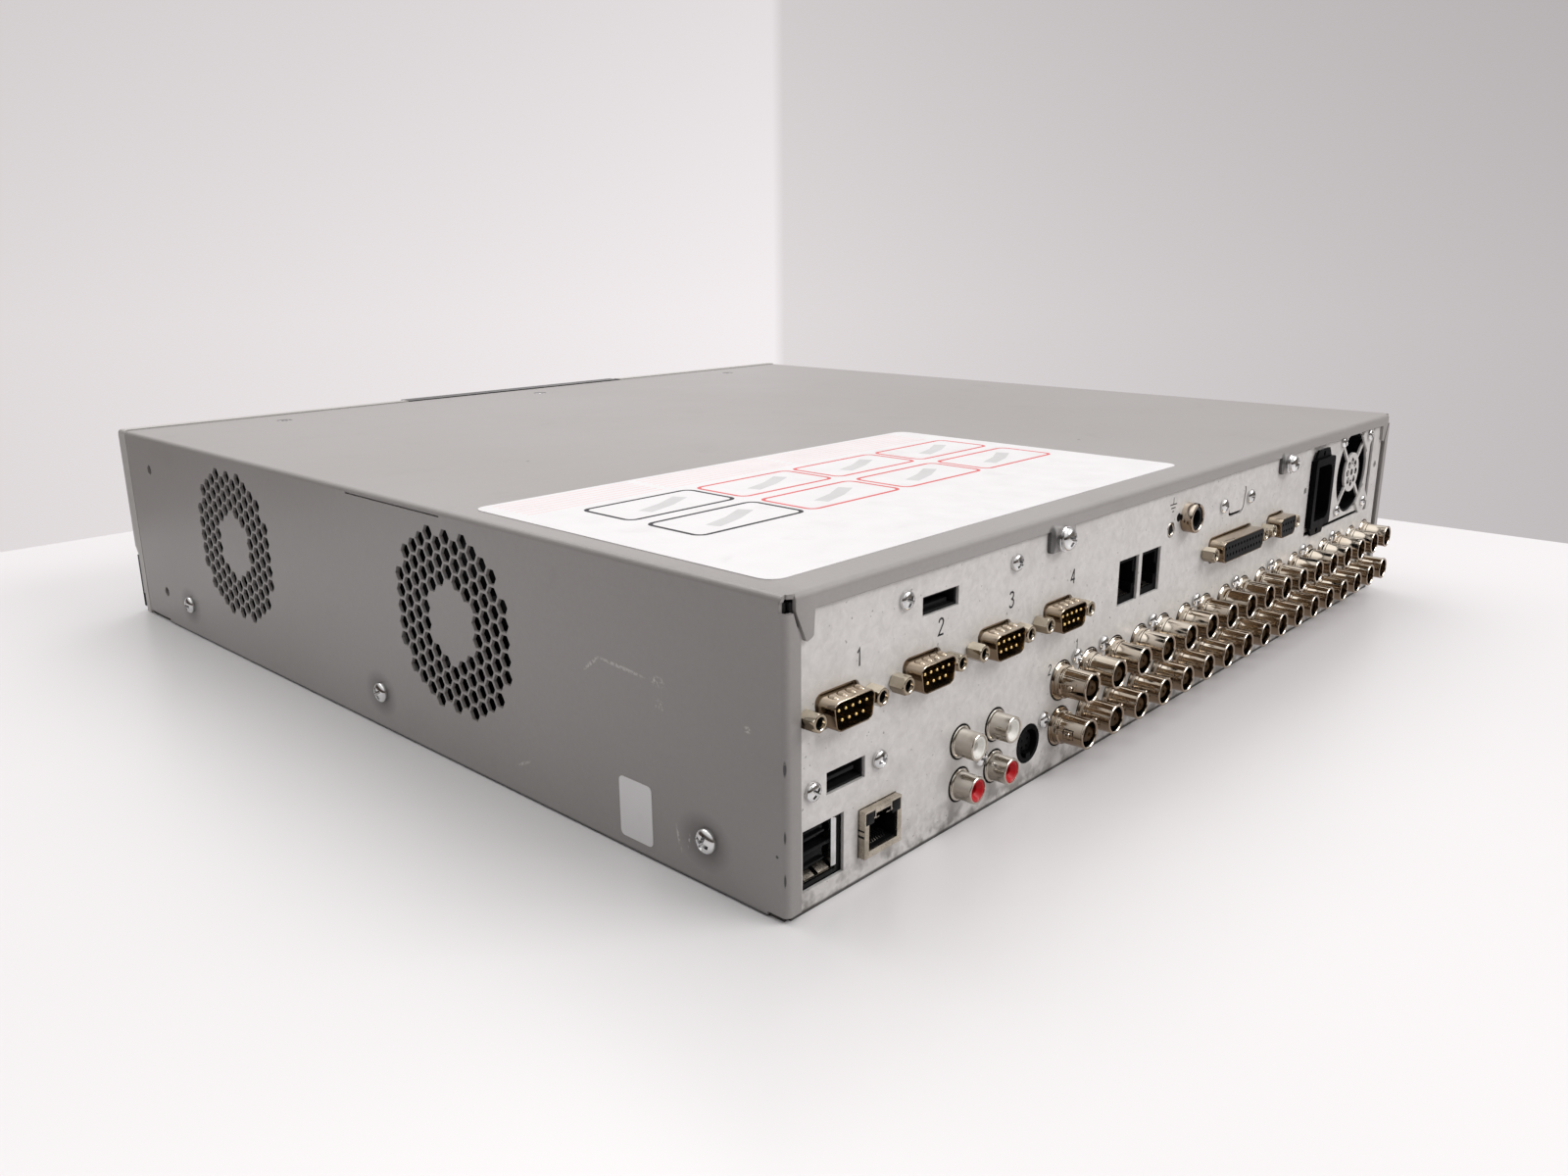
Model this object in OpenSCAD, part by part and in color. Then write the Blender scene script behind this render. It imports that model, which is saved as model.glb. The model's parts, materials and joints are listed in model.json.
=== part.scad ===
// Rack-width video recorder: a sheet-steel case with a perforated cover, a rear panel full of sockets,
// a moulded fascia with keys, a jog dial and a drop-down flap, and the drives, boards and fans inside.
// Origin: centre of the face it rests on. +X is its right seen from the front, +Y the rear, +Z up.

/* [Case] */
// Width over the cover's sides
case_w = 438; // [430:1:540]
// Depth of the cover from its front edge to its rear face
case_d = 418; // [345:1:520]
// Height over the cover's top
case_h = 88; // [86:1:120]
// Thickness of the cover's sheet
cover_t = 1.2; // [0.8:0.1:1.6]
// Thickness of the base tray's sheet
tray_t = 1.2; // [0.8:0.1:1.6]
// Thickness of the rear panel's sheet
panel_t = 1; // [0.8:0.1:1.5]
// Outside radius of the cover's bends
bend_r = 1.8; // [1.7:0.1:3]
// Depth of the flange that the cover folds down over the rear panel
rear_flange = 5; // [4:0.5:8]
// Width of the flange that each side of the cover folds in over the rear panel
side_flange = 5.5; // [4:0.5:7]
// Gap between the cover's lower edge and the resting face
skirt_gap = 0.6; // [0.3:0.1:2]
// Gap between the cover's front edge and the fascia
front_gap = 0.6; // [0.3:0.1:1]

/* [Side vents] */
// Radius of the perforated ring
vent_r = 32.5; // [26:0.5:34]
// Radius of the plain centre of each ring
vent_hub_r = 14; // [10:0.5:18]
// Distance between the columns of holes
vent_pitch = 5; // [4.6:0.1:6]
// Distance across the flats of one six-sided hole
vent_hole_d = 4.9; // [3.5:0.1:4.9]
// Height of the rings' centres
vent_z = 50.6; // [44:0.1:54]
// Distance from the cover's front edge to the front ring's centre
vent_front = 107; // [95:1:120]
// Distance from the cover's rear face to the rear ring's centre
vent_rear = 149; // [120:1:160]

/* [BNC sockets] */
// Distance between columns
bnc_pitch = 17.85; // [16:0.05:24]
// Height of the lower row
bnc_z = 14.8; // [13:0.1:18]
// Distance between the two rows
bnc_row_pitch = 16; // [14.8:0.1:18]
// Outside diameter of the barrel
bnc_d = 10; // [8:0.1:11.6]
// Length of the barrel outside the panel
bnc_len = 11.7; // [10:0.1:18]
// Distance from the case's right side to the first column
bnc_edge = 133.8; // [130:0.1:150]

/* [D-sub sockets] */
// Number of serial sockets
serial_count = 4; // [1:1:4]
// Distance between serial sockets
serial_pitch = 36.1; // [32:0.1:44]
// Distance from the case's right side to the first serial socket
serial_edge = 20.8; // [20:0.1:26]
// Height of the row of D-sub sockets
dsub_z = 54.5; // [52:0.1:58]
// How far the shells stand out of the panel
dsub_len = 6; // [4:0.5:8]

/* [Fascia] */
// Depth of the moulded fascia in front of the cover
fascia_d = 8; // [7.6:0.1:14]
// Wall thickness of the fascia
fascia_t = 2.6; // [2:0.1:3.2]
// Height of the black lower band that the flap closes
band_h = 28; // [24:0.5:34]
// Thickness of the flap
flap_t = 2.4; // [2:0.1:3]

/* [Keys and dial] */
// Width of a key
key_w = 15; // [10:0.5:18]
// Height of a key
key_h = 11; // [8:0.5:14]
// How far a key stands out of the fascia
key_proud = 1.2; // [0.8:0.1:2]
// How far a key can be pressed
key_travel = 1; // [0.4:0.1:1.1]
// Radius of the shuttle ring
shuttle_r = 24; // [20:0.5:28]
// Radius of the jog dial inside it
jog_r = 16; // [12:0.5:18]

/* [Drives] */
// Width of the optical drive's body
optical_w = 146; // [140:1:150]
// Height of the optical drive's body
optical_h = 41.3; // [40:0.1:43]
// Depth of the optical drive's body
optical_d = 172; // [165:1:190]
// Travel of the disc tray
tray_travel = 140; // [120:1:145]

/* [Fans] */
// Width of a side fan
side_fan = 70; // [60:1:71]
// Depth of a side fan
side_fan_d = 15; // [10:1:20]
// Width of the power supply's fan
psu_fan = 40; // [35:1:40]

/* [Fits] */
// Gap between neighbouring loose parts
gap = 0.3; // [0.2:0.05:0.5]
// Radial clearance of a running fit
run_gap = 0.05; // [0.02:0.01:0.1]

/* [Hidden] */
$fn = 32;
half_w = case_w / 2;
y_rear = case_d / 2;
y_front = -case_d / 2;
panel_y = y_rear - cover_t;              // outer face of the rear panel
panel_in = panel_y - panel_t;            // inner face of the rear panel
wall_x = half_w - cover_t;               // outer face of the tray's side walls
wall_in = wall_x - tray_t;               // inner face of the tray's side walls
lid_z = case_h - cover_t;                // underside of the cover's top
wall_top = case_h - bend_r - gap;        // top of the tray's side walls and of the rear panel
front_in = y_front + tray_t;             // inner face of the tray's front wall
face_y = y_front - fascia_d;             // front face of the fascia
panel_w = 2 * (wall_in - gap);

// Boards
board_t = 1.6;
board_z = 3.9;                           // underside of the main board
board_top = board_z + board_t;
io_z = 46.2;                             // underside of the upper socket board
io_top = io_z + board_t;
main_board_d = 180;
board_edge = panel_in - main_board_d;    // front edge of the main board
io_x0 = -112;                            // left end of the socket board
io_d = 52;
standoff_x = [-wall_in + 14, -40, 60, wall_in - 30];
standoff_y = [panel_in - 30, board_edge + 8];
io_post_x = [-100, -6, 76, wall_in - 14];
io_post_y = [panel_in - 22, panel_in - io_d + 6];

// Rear sockets: x is measured from the right side on the right, and from the centre in the middle
usb_x = half_w - 15;       usb_z = 14.5;
usb_w = 13.4;              usb_wall = 0.4;
network_x = half_w - 37.8;  network_z = 14.5;
network_out = 2.3;                       // how far it stands out of the panel
hdmi_x = half_w - 24.4;    hdmi_z = 33.8;
esata_x = half_w - 65;     esata_z = 72.8;
phono_x = [half_w - 77.1, half_w - 95.3];  phono_z = [13.1, 26.8];
phono_r = 4.25;                          // outside radius of a phono barrel
phono_core_r = 3.5;                      // radius of the moulded core inside it
phono_len = 6.9;
video_x = half_w - 114.9;  video_z = 14.4;
serial_x = [for (i = [0:serial_count - 1]) half_w - serial_edge - i * serial_pitch];
keypad_x = [43.3, 26.8];   keypad_z = 56.2;
earth_x = 12.9;            earth_z = 68.9;
earth_r = 2.9;
ir_x = 0.6;                ir_z = 71.7;
vga_x = -43.5;             vga_z = 71.5;
alarm_x = -40.5;           relay_x = -85;

// D-sub shapes: width and height of the shell, and half the distance between the jackscrews
d9 = [16.9, 8.4, 12.5];
d25 = [38.9, 8.4, 23.52];
jack_af = 4.9;
jack_len = 5.2;

// BNC sockets
bnc_x0 = half_w - bnc_edge;
bnc_margin = 15;
bnc_columns = floor((bnc_x0 + wall_in - bnc_margin) / bnc_pitch) + 1;
bnc_x = [for (i = [0:bnc_columns - 1]) bnc_x0 - i * bnc_pitch];
bnc_rows = [bnc_z, bnc_z + bnc_row_pitch];
bnc_flange_r = bnc_d / 2 + 1.5;
bnc_hole_r = bnc_flange_r + 0.5;
bnc_block_d = 14;
bnc_block_y = panel_in - gap;            // rear face of the socket blocks
bnc_block_top = bnc_rows[1] + bnc_flange_r + 1.6;
bnc_screw_x = [for (i = [0:2:bnc_columns - 2]) bnc_x0 - (i == 0 ? 0.5 : i - 0.5) * bnc_pitch];

// Power supply
psu_w = 81.5;  psu_h = 40.5;  psu_d = 150;
psu_x0 = -half_w + 19.5;
psu_z0 = 44;
psu_t = 1;
inlet_x = psu_x0 + 66.8;  inlet_z = psu_z0 + 17.5;
psu_fan_x = psu_x0 + 22.5;  psu_fan_z = psu_z0 + psu_h / 2;
psu_gap = 1.2;                           // gap round it in the rear panel
psu_fan_d = 20;
psu_fan_holes = 16;                      // half the distance between the fan's screws
inlet_w = 22.4;  inlet_h = 31;  inlet_proud = 2.3;
inlet_ear = 3.8;                         // height of the ears above and below the inlet

// Screws: [head radius, head height, shank radius, length]
m3 = [2.8, 2.0, 1.5, 6];
m4 = [3.7, 2.6, 2.0, 8];
side_screw_y = [y_front + 51.6, y_front + 219, y_rear - 29.1];
side_screw_z = 14.4;
top_screw_x = [-152.4, 0, 152.4];
top_screw_y = y_front + 21;
top_screw_r = 1.5;
top_head_r = 3.1;
tab_x = 91;  tab_w = 14.8;
tab_screw_z = case_h - 8.2;
ear_y = y_front + 24.5;
ear_z = [15.4, 72.6];
ear_r = 2.2;

// Fascia
band_z = band_h;
drive_x = -2.5;
bezel_w = optical_w + 3;
bezel_z0 = lid_z - optical_h - 0.1;
bezel_top = case_h + 0.4;
bezel_y = face_y - 1;
optical_z0 = lid_z - tray_t - gap - optical_h;
tray_slot_w = 134;  tray_slot_h = 14;
tray_z = optical_z0 + 24;
tray_plate_w = 128;  tray_plate_t = 5;   // the sliding plate behind the tray's front
disc_r = 61;
eject_x = drive_x + 55;  eject_z = bezel_z0 + 6.4;
eject_w = 9;  eject_h = 4.4;
window_x = -150;  window_z = 59;  window_w = 108;  window_h = 30;
lens_x = [for (i = [0:4]) -196 + 12 * i];
lens_z = 36;
lens_r = 1.6;
key_x = [92, 112, 132];
key_z = [70, 46];
dial_x = 178;  dial_z = 58;
bush_r = 4.5;
jog_shaft_r = 3;
board_y = y_front + 6.6;                 // rear face of the front boards
board_face = board_y - board_t;          // front face of the front boards
switch_t = 1.6;                          // height of the switch behind each key
key_rim = 1;                             // rim that keeps a key in its hole
key_back = face_y + fascia_t + gap;      // front of the rim
stem_len = board_face - switch_t - key_travel - gap - key_back - key_rim;
shaft_back = board_face - face_y + gap - 1.4;
front_usb_x = [-60, -36];
front_usb_z = 17;

// Flap: it turns about its lower edge
flap_pin_r = 1.2;
flap_barrel_r = flap_pin_r + 0.5;
flap_y = face_y + flap_barrel_r;         // hinge axis
flap_z = 6.6;
flap_top = band_z - 0.4;
cheek = 3;
flap_half = half_w - cheek - gap;
band_face = face_y + flap_t + gap;       // front face of the fascia behind the flap
chamfer_h = 4.4;                         // slope under the fascia's face, above the flap
fascia_top = case_h + 0.5;
fascia_round = 3;                        // of the fascia's top front edge

// Hard drives
hdd_w = 101.6;  hdd_h = 26.1;  hdd_d = 147;
cage_x = [-144.5, 144.5];
cage_t = 1;
hdd_y0 = y_front + 15;
hdd_z = [8, 40];

// Fans along the right side
fan_y = [y_front + vent_front, y_rear - vent_rear];
fan_x = wall_in - side_fan_d;

// Labels
label_t = 0.2;
label_x0 = -13;  label_x1 = half_w - 8;  label_y1 = y_rear - 12;  label_d = 132.5;

steel_grey = [0.62, 0.59, 0.58];
zinc = [0.78, 0.77, 0.76];
nickel = [0.72, 0.68, 0.6];
black = [0.07, 0.07, 0.08];
board_green = [0.1, 0.35, 0.2];
gold = [0.85, 0.65, 0.25];
fascia_grey = [0.72, 0.71, 0.7];

// ---- Helpers ----

function unit(v) = v / norm(v);

// Points of the fillet of radius r at corner p between its neighbours a and b
function corner(p, a, b, r, steps) = r == 0 ? [p] :
    let (u = unit(a - p), v = unit(b - p), half = acos(u * v) / 2,
         c = p + unit(u + v) * r / sin(half),
         s = p + u * r / tan(half) - c, e = p + v * r / tan(half) - c,
         a0 = atan2(s[1], s[0]), a1 = atan2(e[1], e[0]),
         sweep = a1 - a0 > 180 ? a1 - a0 - 360 : a1 - a0 < -180 ? a1 - a0 + 360 : a1 - a0)
    [for (k = [0:steps]) c + r * [cos(a0 + sweep * k / steps), sin(a0 + sweep * k / steps)]];

// An outline with its corners rounded by r, or by one radius for each corner
function rounded(p, r, steps = 4) = [for (i = [0:len(p) - 1])
    each corner(p[i], p[(i + len(p) - 1) % len(p)], p[(i + 1) % len(p)], is_list(r) ? r[i] : r, steps)];

// Corners of a rectangle about its centre
function rect(w, h, x = 0, y = 0) =
    [[x - w / 2, y - h / 2], [x + w / 2, y - h / 2], [x + w / 2, y + h / 2], [x - w / 2, y + h / 2]];

// Corners of a D-sub outline, wide side up
function d_shape(w, h) = let (s = h * tan(10))
    [[-w / 2 + s, -h / 2], [w / 2 - s, -h / 2], [w / 2, h / 2], [-w / 2, h / 2]];

// Outline of a band of thickness t that leaves a level and turns down to arrive upright at b
function quarter_band(a, b, t, n) = let (r = b - a,
    p = [for (k = [0:n]) let (u = 90 * k / n, d = unit([r[0] * cos(u), r[1] * sin(u)]))
         [a + [r[0] * sin(u), r[1] * (1 - cos(u))], [-d[1], d[0]] * t / 2]])
    concat([for (k = [0:n]) p[k][0] + p[k][1]], [for (k = [n:-1:0]) p[k][0] - p[k][1]]);

// Extrudes an (x, z) drawing from y towards the front by t
module slab_y(y, t) translate([0, y, 0]) rotate([90, 0, 0]) linear_extrude(t) children();

// Extrudes a (y, z) drawing from x towards +X by t
module slab_x(x, t) translate([x, 0, 0]) rotate([90, 0, 90]) linear_extrude(t) children();

// Puts a part on the rear panel at (x, z), its +Z pointing out of the panel and its +Y up
module on_rear(x, z, out = 0) translate([x, panel_y + out, z]) rotate([90, 0, 180]) children();

// Puts a part on the front at (x, z), its +Z pointing to the front and its +Y up
module on_front(x, z, y) translate([x, y, z]) rotate([90, 0, 0]) children();

module at(points) for (p = points) translate(p) children();

module square_at(w, h, x, z) translate([x, z]) square([w, h], center = true);

module box(x0, x1, y0, y1, z0, z1) translate([x0, y0, z0]) cube([x1 - x0, y1 - y0, z1 - z0]);

// A pan-head screw whose head sits on z = 0, with a cross recess
module pan_screw(s) difference() {
    union() {
        rotate_extrude() polygon([[0, 0], [s[0], 0], [s[0], s[1] * 0.45], [s[0] * 0.82, s[1] * 0.82],
                                  [s[0] * 0.45, s[1]], [0, s[1]]]);
        translate([0, 0, -s[3]]) cylinder(r = s[2] - 0.05, h = s[3] + 0.1);
    }
    translate([0, 0, s[1]]) for (a = [45, 135]) rotate(a)
        cube([s[0] * 1.15, s[0] * 0.26, s[1] * 1.1], center = true);
}

// ---- Case ----

// Hexagonal field of vent holes between the hub and the rim, about the origin
module vent_holes() {
    n = ceil(vent_r / vent_pitch);
    row = vent_pitch * 2 / sqrt(3);
    for (i = [-n:n], j = [-n:n]) {
        p = [i * vent_pitch, (j + (i % 2 == 0 ? 0 : 0.5)) * row];
        if (norm(p) <= vent_r && norm(p) >= vent_hub_r && abs(p[1]) <= vent_r - 3)
            translate(p) circle(d = vent_hole_d / cos(30), $fn = 6);
    }
}

// One side of the cover, drawn in (y, z); the slot runs beside the bend on the right side
module cover_side(slot) difference() {
    y0 = y_front + front_gap;
    polygon([[y0, skirt_gap + 1.4], [y_front + 23.4, skirt_gap + 1.4], [y_front + 23.4, skirt_gap],
             [y_rear - 7, skirt_gap], [y_rear - 7, skirt_gap + 1.2], [y_rear - bend_r, skirt_gap + 1.2],
             [y_rear - bend_r, case_h - bend_r - 2.8], [y_rear - bend_r - 0.5, case_h - bend_r - 2.8],
             [y_rear - bend_r - 0.5, case_h - bend_r], [y0, case_h - bend_r]]);
    for (y = fan_y) translate([y, vent_z]) vent_holes();
    for (y = side_screw_y) translate([y, side_screw_z]) circle(r = m4[2]);
    for (z = ear_z) translate([ear_y, z]) circle(r = ear_r);
    if (slot) translate([-2.8, case_h - bend_r - 0.6]) square([60.5, 0.45]);
}

// Corner tab of the rear flange and one end of the flange, for the right side
module flange_end() {
    z0 = case_h - rear_flange;
    polygon(rounded([[tab_x, z0], [half_w - 10.7, z0], [half_w - 10.3, z0 - 7], [half_w - 7.6, z0 - 8],
                     [half_w - 3.7, z0 + 0.6], [half_w - 3.7, case_h - bend_r], [tab_x, case_h - bend_r]],
                    [0, 0.5, 1.2, 0.5, 0.6, 0, 0]));
}

module top_cover() color(steel_grey) {
    // top with both long bends, countersunk for the front screws
    difference() {
        slab_y(y_rear - bend_r, case_d - bend_r - front_gap) difference() {
            polygon(rounded([[-half_w, case_h - bend_r], [half_w, case_h - bend_r], [half_w, case_h],
                [-half_w, case_h]],
                            [0, 0, bend_r - 0.01, bend_r - 0.01], 5));
            polygon(rounded([[-wall_x, case_h - bend_r - 1], [wall_x, case_h - bend_r - 1], [wall_x, lid_z],
                             [-wall_x, lid_z]], [0, 0, bend_r - cover_t, bend_r - cover_t], 5));
        }
        for (x = top_screw_x) translate([x, top_screw_y, lid_z - 1]) {
            cylinder(r = top_screw_r, h = 5);
            translate([0, 0, 1.2]) cylinder(r1 = top_screw_r, r2 = top_head_r + gap, h = cover_t - 0.2);
            translate([0, 0, cover_t + 1]) cylinder(r = top_head_r + gap, h = 2);
        }
    }
    // corners of the top over the relief notches
    for (s = [-1, 1]) translate([0, 0, lid_z]) linear_extrude(cover_t)
        polygon([[s * (half_w - 4), y_rear - bend_r], [s * (half_w - bend_r), y_rear - bend_r],
                 [s * (half_w - bend_r), y_rear - bend_r + 0.4], [s * (half_w - 3.2), y_rear - 0.6],
                 [s * (half_w - 4), y_rear - 0.6]]);
    slab_x(wall_x, cover_t) cover_side(true);
    slab_x(-half_w, cover_t) cover_side(false);
    // bend down to the rear flange
    slab_x(-half_w + 3.7, case_w - 7.4) polygon(concat(
        [for (k = [0:5]) [y_rear - bend_r, case_h - bend_r] + bend_r * [cos(18 * k), sin(18 * k)]],
        [for (k = [5:-1:0])
            [y_rear - bend_r, case_h - bend_r] + (bend_r - cover_t) * [cos(18 * k), sin(18 * k)]]));
    // rear flange with its two screw tabs and two corner tabs
    slab_y(y_rear, cover_t) difference() {
        union() {
            translate([-tab_x, case_h - rear_flange]) square([2 * tab_x, rear_flange - bend_r]);
            for (s = [0, 1]) mirror([s, 0]) {
                flange_end();
                polygon(rounded(
                    [[tab_x - tab_w / 2, case_h - rear_flange + 1], [tab_x - tab_w / 2, tab_screw_z - 4],
                     [tab_x + tab_w / 2, tab_screw_z - 4], [tab_x + tab_w / 2, case_h - rear_flange + 1]],
                                [0, 1.5, 1.5, 0]));
            }
        }
        for (s = [-1, 1]) translate([s * tab_x, tab_screw_z]) circle(r = m4[2]);
    }
    // side flanges with their bends
    for (s = [0, 1]) mirror([s, 0, 0]) difference() {
        translate([0, 0, skirt_gap + 1.2]) linear_extrude(case_h - skirt_gap - 5.8) {
            translate([half_w - side_flange, panel_y]) square([side_flange - bend_r, cover_t]);
            polygon(concat(
                [for (k = [0:5]) [half_w - bend_r, y_rear - bend_r] + bend_r * [cos(18 * k), sin(18 * k)]],
                [for (k = [5:-1:0])
                    [half_w - bend_r, y_rear - bend_r] + (bend_r - cover_t) * [cos(18 * k), sin(18 * k)]]));
        }
        slab_y(y_rear + 1, 3) polygon([
            [half_w - side_flange - 1, case_h - 12], [half_w - side_flange, case_h - 12],
            [half_w - 2.6, case_h - 4], [half_w - side_flange - 1, case_h - 4]]);
    }
}

module base_tray() color(zinc) {
    box(-wall_x, wall_x, y_front, panel_in, 0, tray_t);
    box(-panel_w / 2, panel_w / 2, panel_in, panel_y, 0, tray_t);
    for (x = [-wall_x, wall_in]) slab_x(x, tray_t) difference() {
        translate([y_front, tray_t]) square([panel_in - y_front, wall_top - tray_t]);
        for (y = fan_y) translate([y, vent_z]) intersection() {
            circle(r = vent_r + 3.2, $fn = 64);
            square([3 * vent_r, 2 * vent_r + 1], center = true);
        }
        for (y = side_screw_y) translate([y, side_screw_z]) circle(r = m4[2]);
        for (z = ear_z) translate([ear_y, z]) circle(r = ear_r);
    }
    // front wall with openings for the drive, the displays, the keys, the dial and the front sockets
    slab_y(front_in, tray_t) difference() {
        translate([-wall_in, tray_t]) square([2 * wall_in, lid_z - tray_t]);
        translate([drive_x - optical_w / 2 - gap, optical_z0 - gap])
            square([optical_w + 2 * gap, optical_h + 2 * gap]);
        translate([window_x, window_z]) square([window_w + 2, window_h + 2], center = true);
        for (x = key_x, z = key_z) translate([x, z]) circle(r = 3);
        translate([dial_x, dial_z]) circle(r = bush_r + gap);
        for (x = lens_x) translate([x, lens_z]) circle(r = lens_r + gap);
        for (x = front_usb_x) translate([x, front_usb_z]) square([14.4, 7.2], center = true);
    }
    // top flange that takes the cover's front screws
    translate([0, 0, lid_z - tray_t]) linear_extrude(tray_t) difference() {
        translate([-wall_in, y_front]) square([2 * wall_in, 27]);
        for (x = top_screw_x) translate([x, top_screw_y]) circle(r = top_screw_r);
    }
}

// Openings of the rear panel, drawn in (x, z)
module rear_openings() {
    translate([usb_x - 0.4, usb_z + 0.3]) square([16.4, 17.5], center = true);
    translate([network_x, network_z]) square([16.4, 14.4], center = true);
    translate([hdmi_x, hdmi_z]) square([15.7, 6.3], center = true);
    translate([esata_x, esata_z]) square([17, 5.6], center = true);
    for (x = serial_x) dsub_opening(x, d9);
    dsub_opening(alarm_x, d25);
    dsub_opening(relay_x, d9);
    for (x = keypad_x) translate([x, keypad_z]) square([14, 16.1], center = true);
    translate([earth_x, earth_z]) circle(r = earth_r);
    translate([ir_x, ir_z]) circle(r = 5.1);
    // unused D-sub place, left as a partly cut blank
    difference() {
        intersection() {
            translate([vga_x, vga_z]) polygon(rounded(d_shape(18.2, 12.2), 3.2));
            translate([vga_x - 9.1, vga_z - 6.1]) square([15.8, 10.3]);
        }
        translate([vga_x, vga_z]) polygon(rounded(d_shape(15.6, 9.6), 2));
    }
    for (x = phono_x, z = phono_z) translate([x, z]) circle(r = 5.6);
    translate([video_x, video_z]) circle(r = 6.6);
    for (x = bnc_x, z = bnc_rows) translate([x, z]) circle(r = bnc_hole_r);
    for (p = small_screws()) translate(p) circle(r = m3[2]);
    for (s = [-1, 1]) translate([s * tab_x, tab_screw_z]) circle(r = m4[2]);
    // power supply: its inlet, its fan and the screws that hold it
    difference() {
        translate([psu_x0 - psu_gap, psu_z0 - psu_gap])
            square([inlet_x + inlet_w / 2 + 2 * psu_gap - psu_x0, psu_h]);
        for (z = [-1, 1]) translate([psu_fan_x - psu_fan_holes, psu_fan_z + z * psu_fan_holes]) rotate(45)
            square(11.5, center = true);
    }
    for (z = [-1, 1]) translate([psu_fan_x - psu_fan_holes, psu_fan_z + z * psu_fan_holes]) circle(r = 1.5);
    translate([inlet_x + 16, psu_z0 + 20]) circle(r = 1.5);
    translate([psu_x0 - 6.6, psu_z0 + 20.3]) circle(r = 1.7);
    // slot along the left edge
    translate([side_flange - half_w - 0.7, 10]) square([2.8, case_h - 22]);
}

module dsub_opening(x, d) translate([x, dsub_z]) {
    polygon(rounded(d_shape(d[0] + 2, d[1] + 2), 2.6));
    for (s = [-1, 1]) translate([s * d[2], 0]) circle(r = 1.6);
}

// Places of the small screws in the rear panel, as [x, z]
function small_screws() = concat(
    [[hdmi_x + 13.6, hdmi_z], [hdmi_x - 13.7, hdmi_z + 0.2], [esata_x + 16.2, 76.6], [half_w - 103, 76.6],
     [vga_x + 12.5, 71], [vga_x - 12.5, 71], [half_w - 123.5, 20.1], [half_w - 87.6, 18.5]],
    [for (x = bnc_screw_x) [x, bnc_rows[1] + 6.2]]);

module rear_panel() color(zinc) {
    slab_y(panel_y, panel_t) difference() {
        translate([-panel_w / 2, tray_t]) square([panel_w, wall_top - tray_t]);
        rear_openings();
    }
    box(-panel_w / 2, panel_w / 2, panel_in - 9, panel_in, tray_t, tray_t + panel_t);
    box(-panel_w / 2, panel_w / 2, panel_in - 9, panel_in, wall_top - panel_t, wall_top);
}

module screws() color(zinc) {
    for (p = small_screws()) on_rear(p[0], p[1]) pan_screw(m3);
    for (s = [-1, 1]) on_rear(s * tab_x, tab_screw_z, cover_t) {
        cylinder(r = m4[0] + 0.4, h = 1.4);
        translate([0, 0, 1.4]) pan_screw([m4[0], m4[1], m4[2], m4[3] + 1.4]);
    }
    for (y = side_screw_y, s = [-1, 1]) translate([s * half_w, y, side_screw_z]) rotate([0, 90 * s, 0])
        pan_screw(m4);
    for (x = top_screw_x) translate([x, top_screw_y, lid_z]) difference() {
        union() {
            translate([0, 0, 0.25]) cylinder(r1 = top_screw_r, r2 = top_head_r, h = cover_t - 0.4);
            translate([0, 0, -tray_t]) cylinder(r = top_screw_r - 0.05, h = tray_t + 0.4);
        }
        translate([0, 0, cover_t]) for (a = [45, 135]) rotate(a) cube([3.4, 0.8, 1.2], center = true);
    }
    // threaded bush of the earth terminal
    on_rear(earth_x, earth_z) difference() {
        union() {
            translate([0, 0, -panel_t - 4]) cylinder(r = earth_r + 1.1, h = 4);
            translate([0, 0, -panel_t - 1]) cylinder(r = earth_r - gap, h = panel_t + 1);
        }
        translate([0, 0, -panel_t - 5]) cylinder(r = 1.9, h = 8);
    }
    // the screws of the power supply's fan: two sit on the panel's tabs, two on the supply itself
    for (x = [-1, 1], z = [-1, 1]) on_rear(psu_fan_x + x * psu_fan_holes, psu_fan_z + z * psu_fan_holes,
        x < 0 ? 0 : -panel_t) pan_screw([2.6, 1.8, 1.5, 5]);
}

module labels() color("white") {
    translate([0, 0, case_h]) linear_extrude(label_t)
        polygon(rounded([[label_x0, label_y1 - label_d], [label_x1, label_y1 - label_d],
            [label_x1, label_y1], [label_x0, label_y1]], 5));
    slab_x(half_w, label_t) polygon(rounded(rect(14, 18.6, y_rear - 58.6, 13.4), 1.6));
}

// ---- Rear sockets ----

module bnc_places() for (x = bnc_x, z = bnc_rows) on_rear(x, z) children();

module bnc_barrels() color(nickel) bnc_places() {
    back = -panel_t - gap;
    rotate_extrude() polygon([
        [bnc_d * 0.26, back], [bnc_flange_r, back], [bnc_flange_r, 0.3], [bnc_d / 2 + 0.6, 0.3],
        [bnc_d / 2 + 0.6, 2.6], [bnc_d / 2, 3], [bnc_d / 2, bnc_len - 0.4], [bnc_d / 2 - 0.3, bnc_len],
        [bnc_d / 2 - 0.7, bnc_len], [bnc_d / 2 - 0.8, bnc_len - 0.6], [bnc_d / 2 - 0.8, 3.4],
        [bnc_d * 0.26, 3.4]]);
    for (s = [-1, 1]) translate([s * (bnc_d / 2 - 0.3), 0, bnc_len * 0.55]) rotate([0, 90 * s, 0])
        cylinder(r = 1, h = 1.3);
}

module bnc_insulators() color("ivory") bnc_places() difference() {
    translate([0, 0, -panel_t - gap]) cylinder(r = bnc_d * 0.26, h = panel_t + gap + bnc_len * 0.62);
    translate([0, 0, -panel_t - gap - 1]) cylinder(r = 0.75, h = 30);
}

module bnc_contacts() color(gold) bnc_places() translate([0, 0, -panel_t - gap]) difference() {
    cylinder(r = 0.75, h = panel_t + gap + bnc_len * 0.6);
    translate([0, 0, 4]) cylinder(r = 0.4, h = 30);
}

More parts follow.
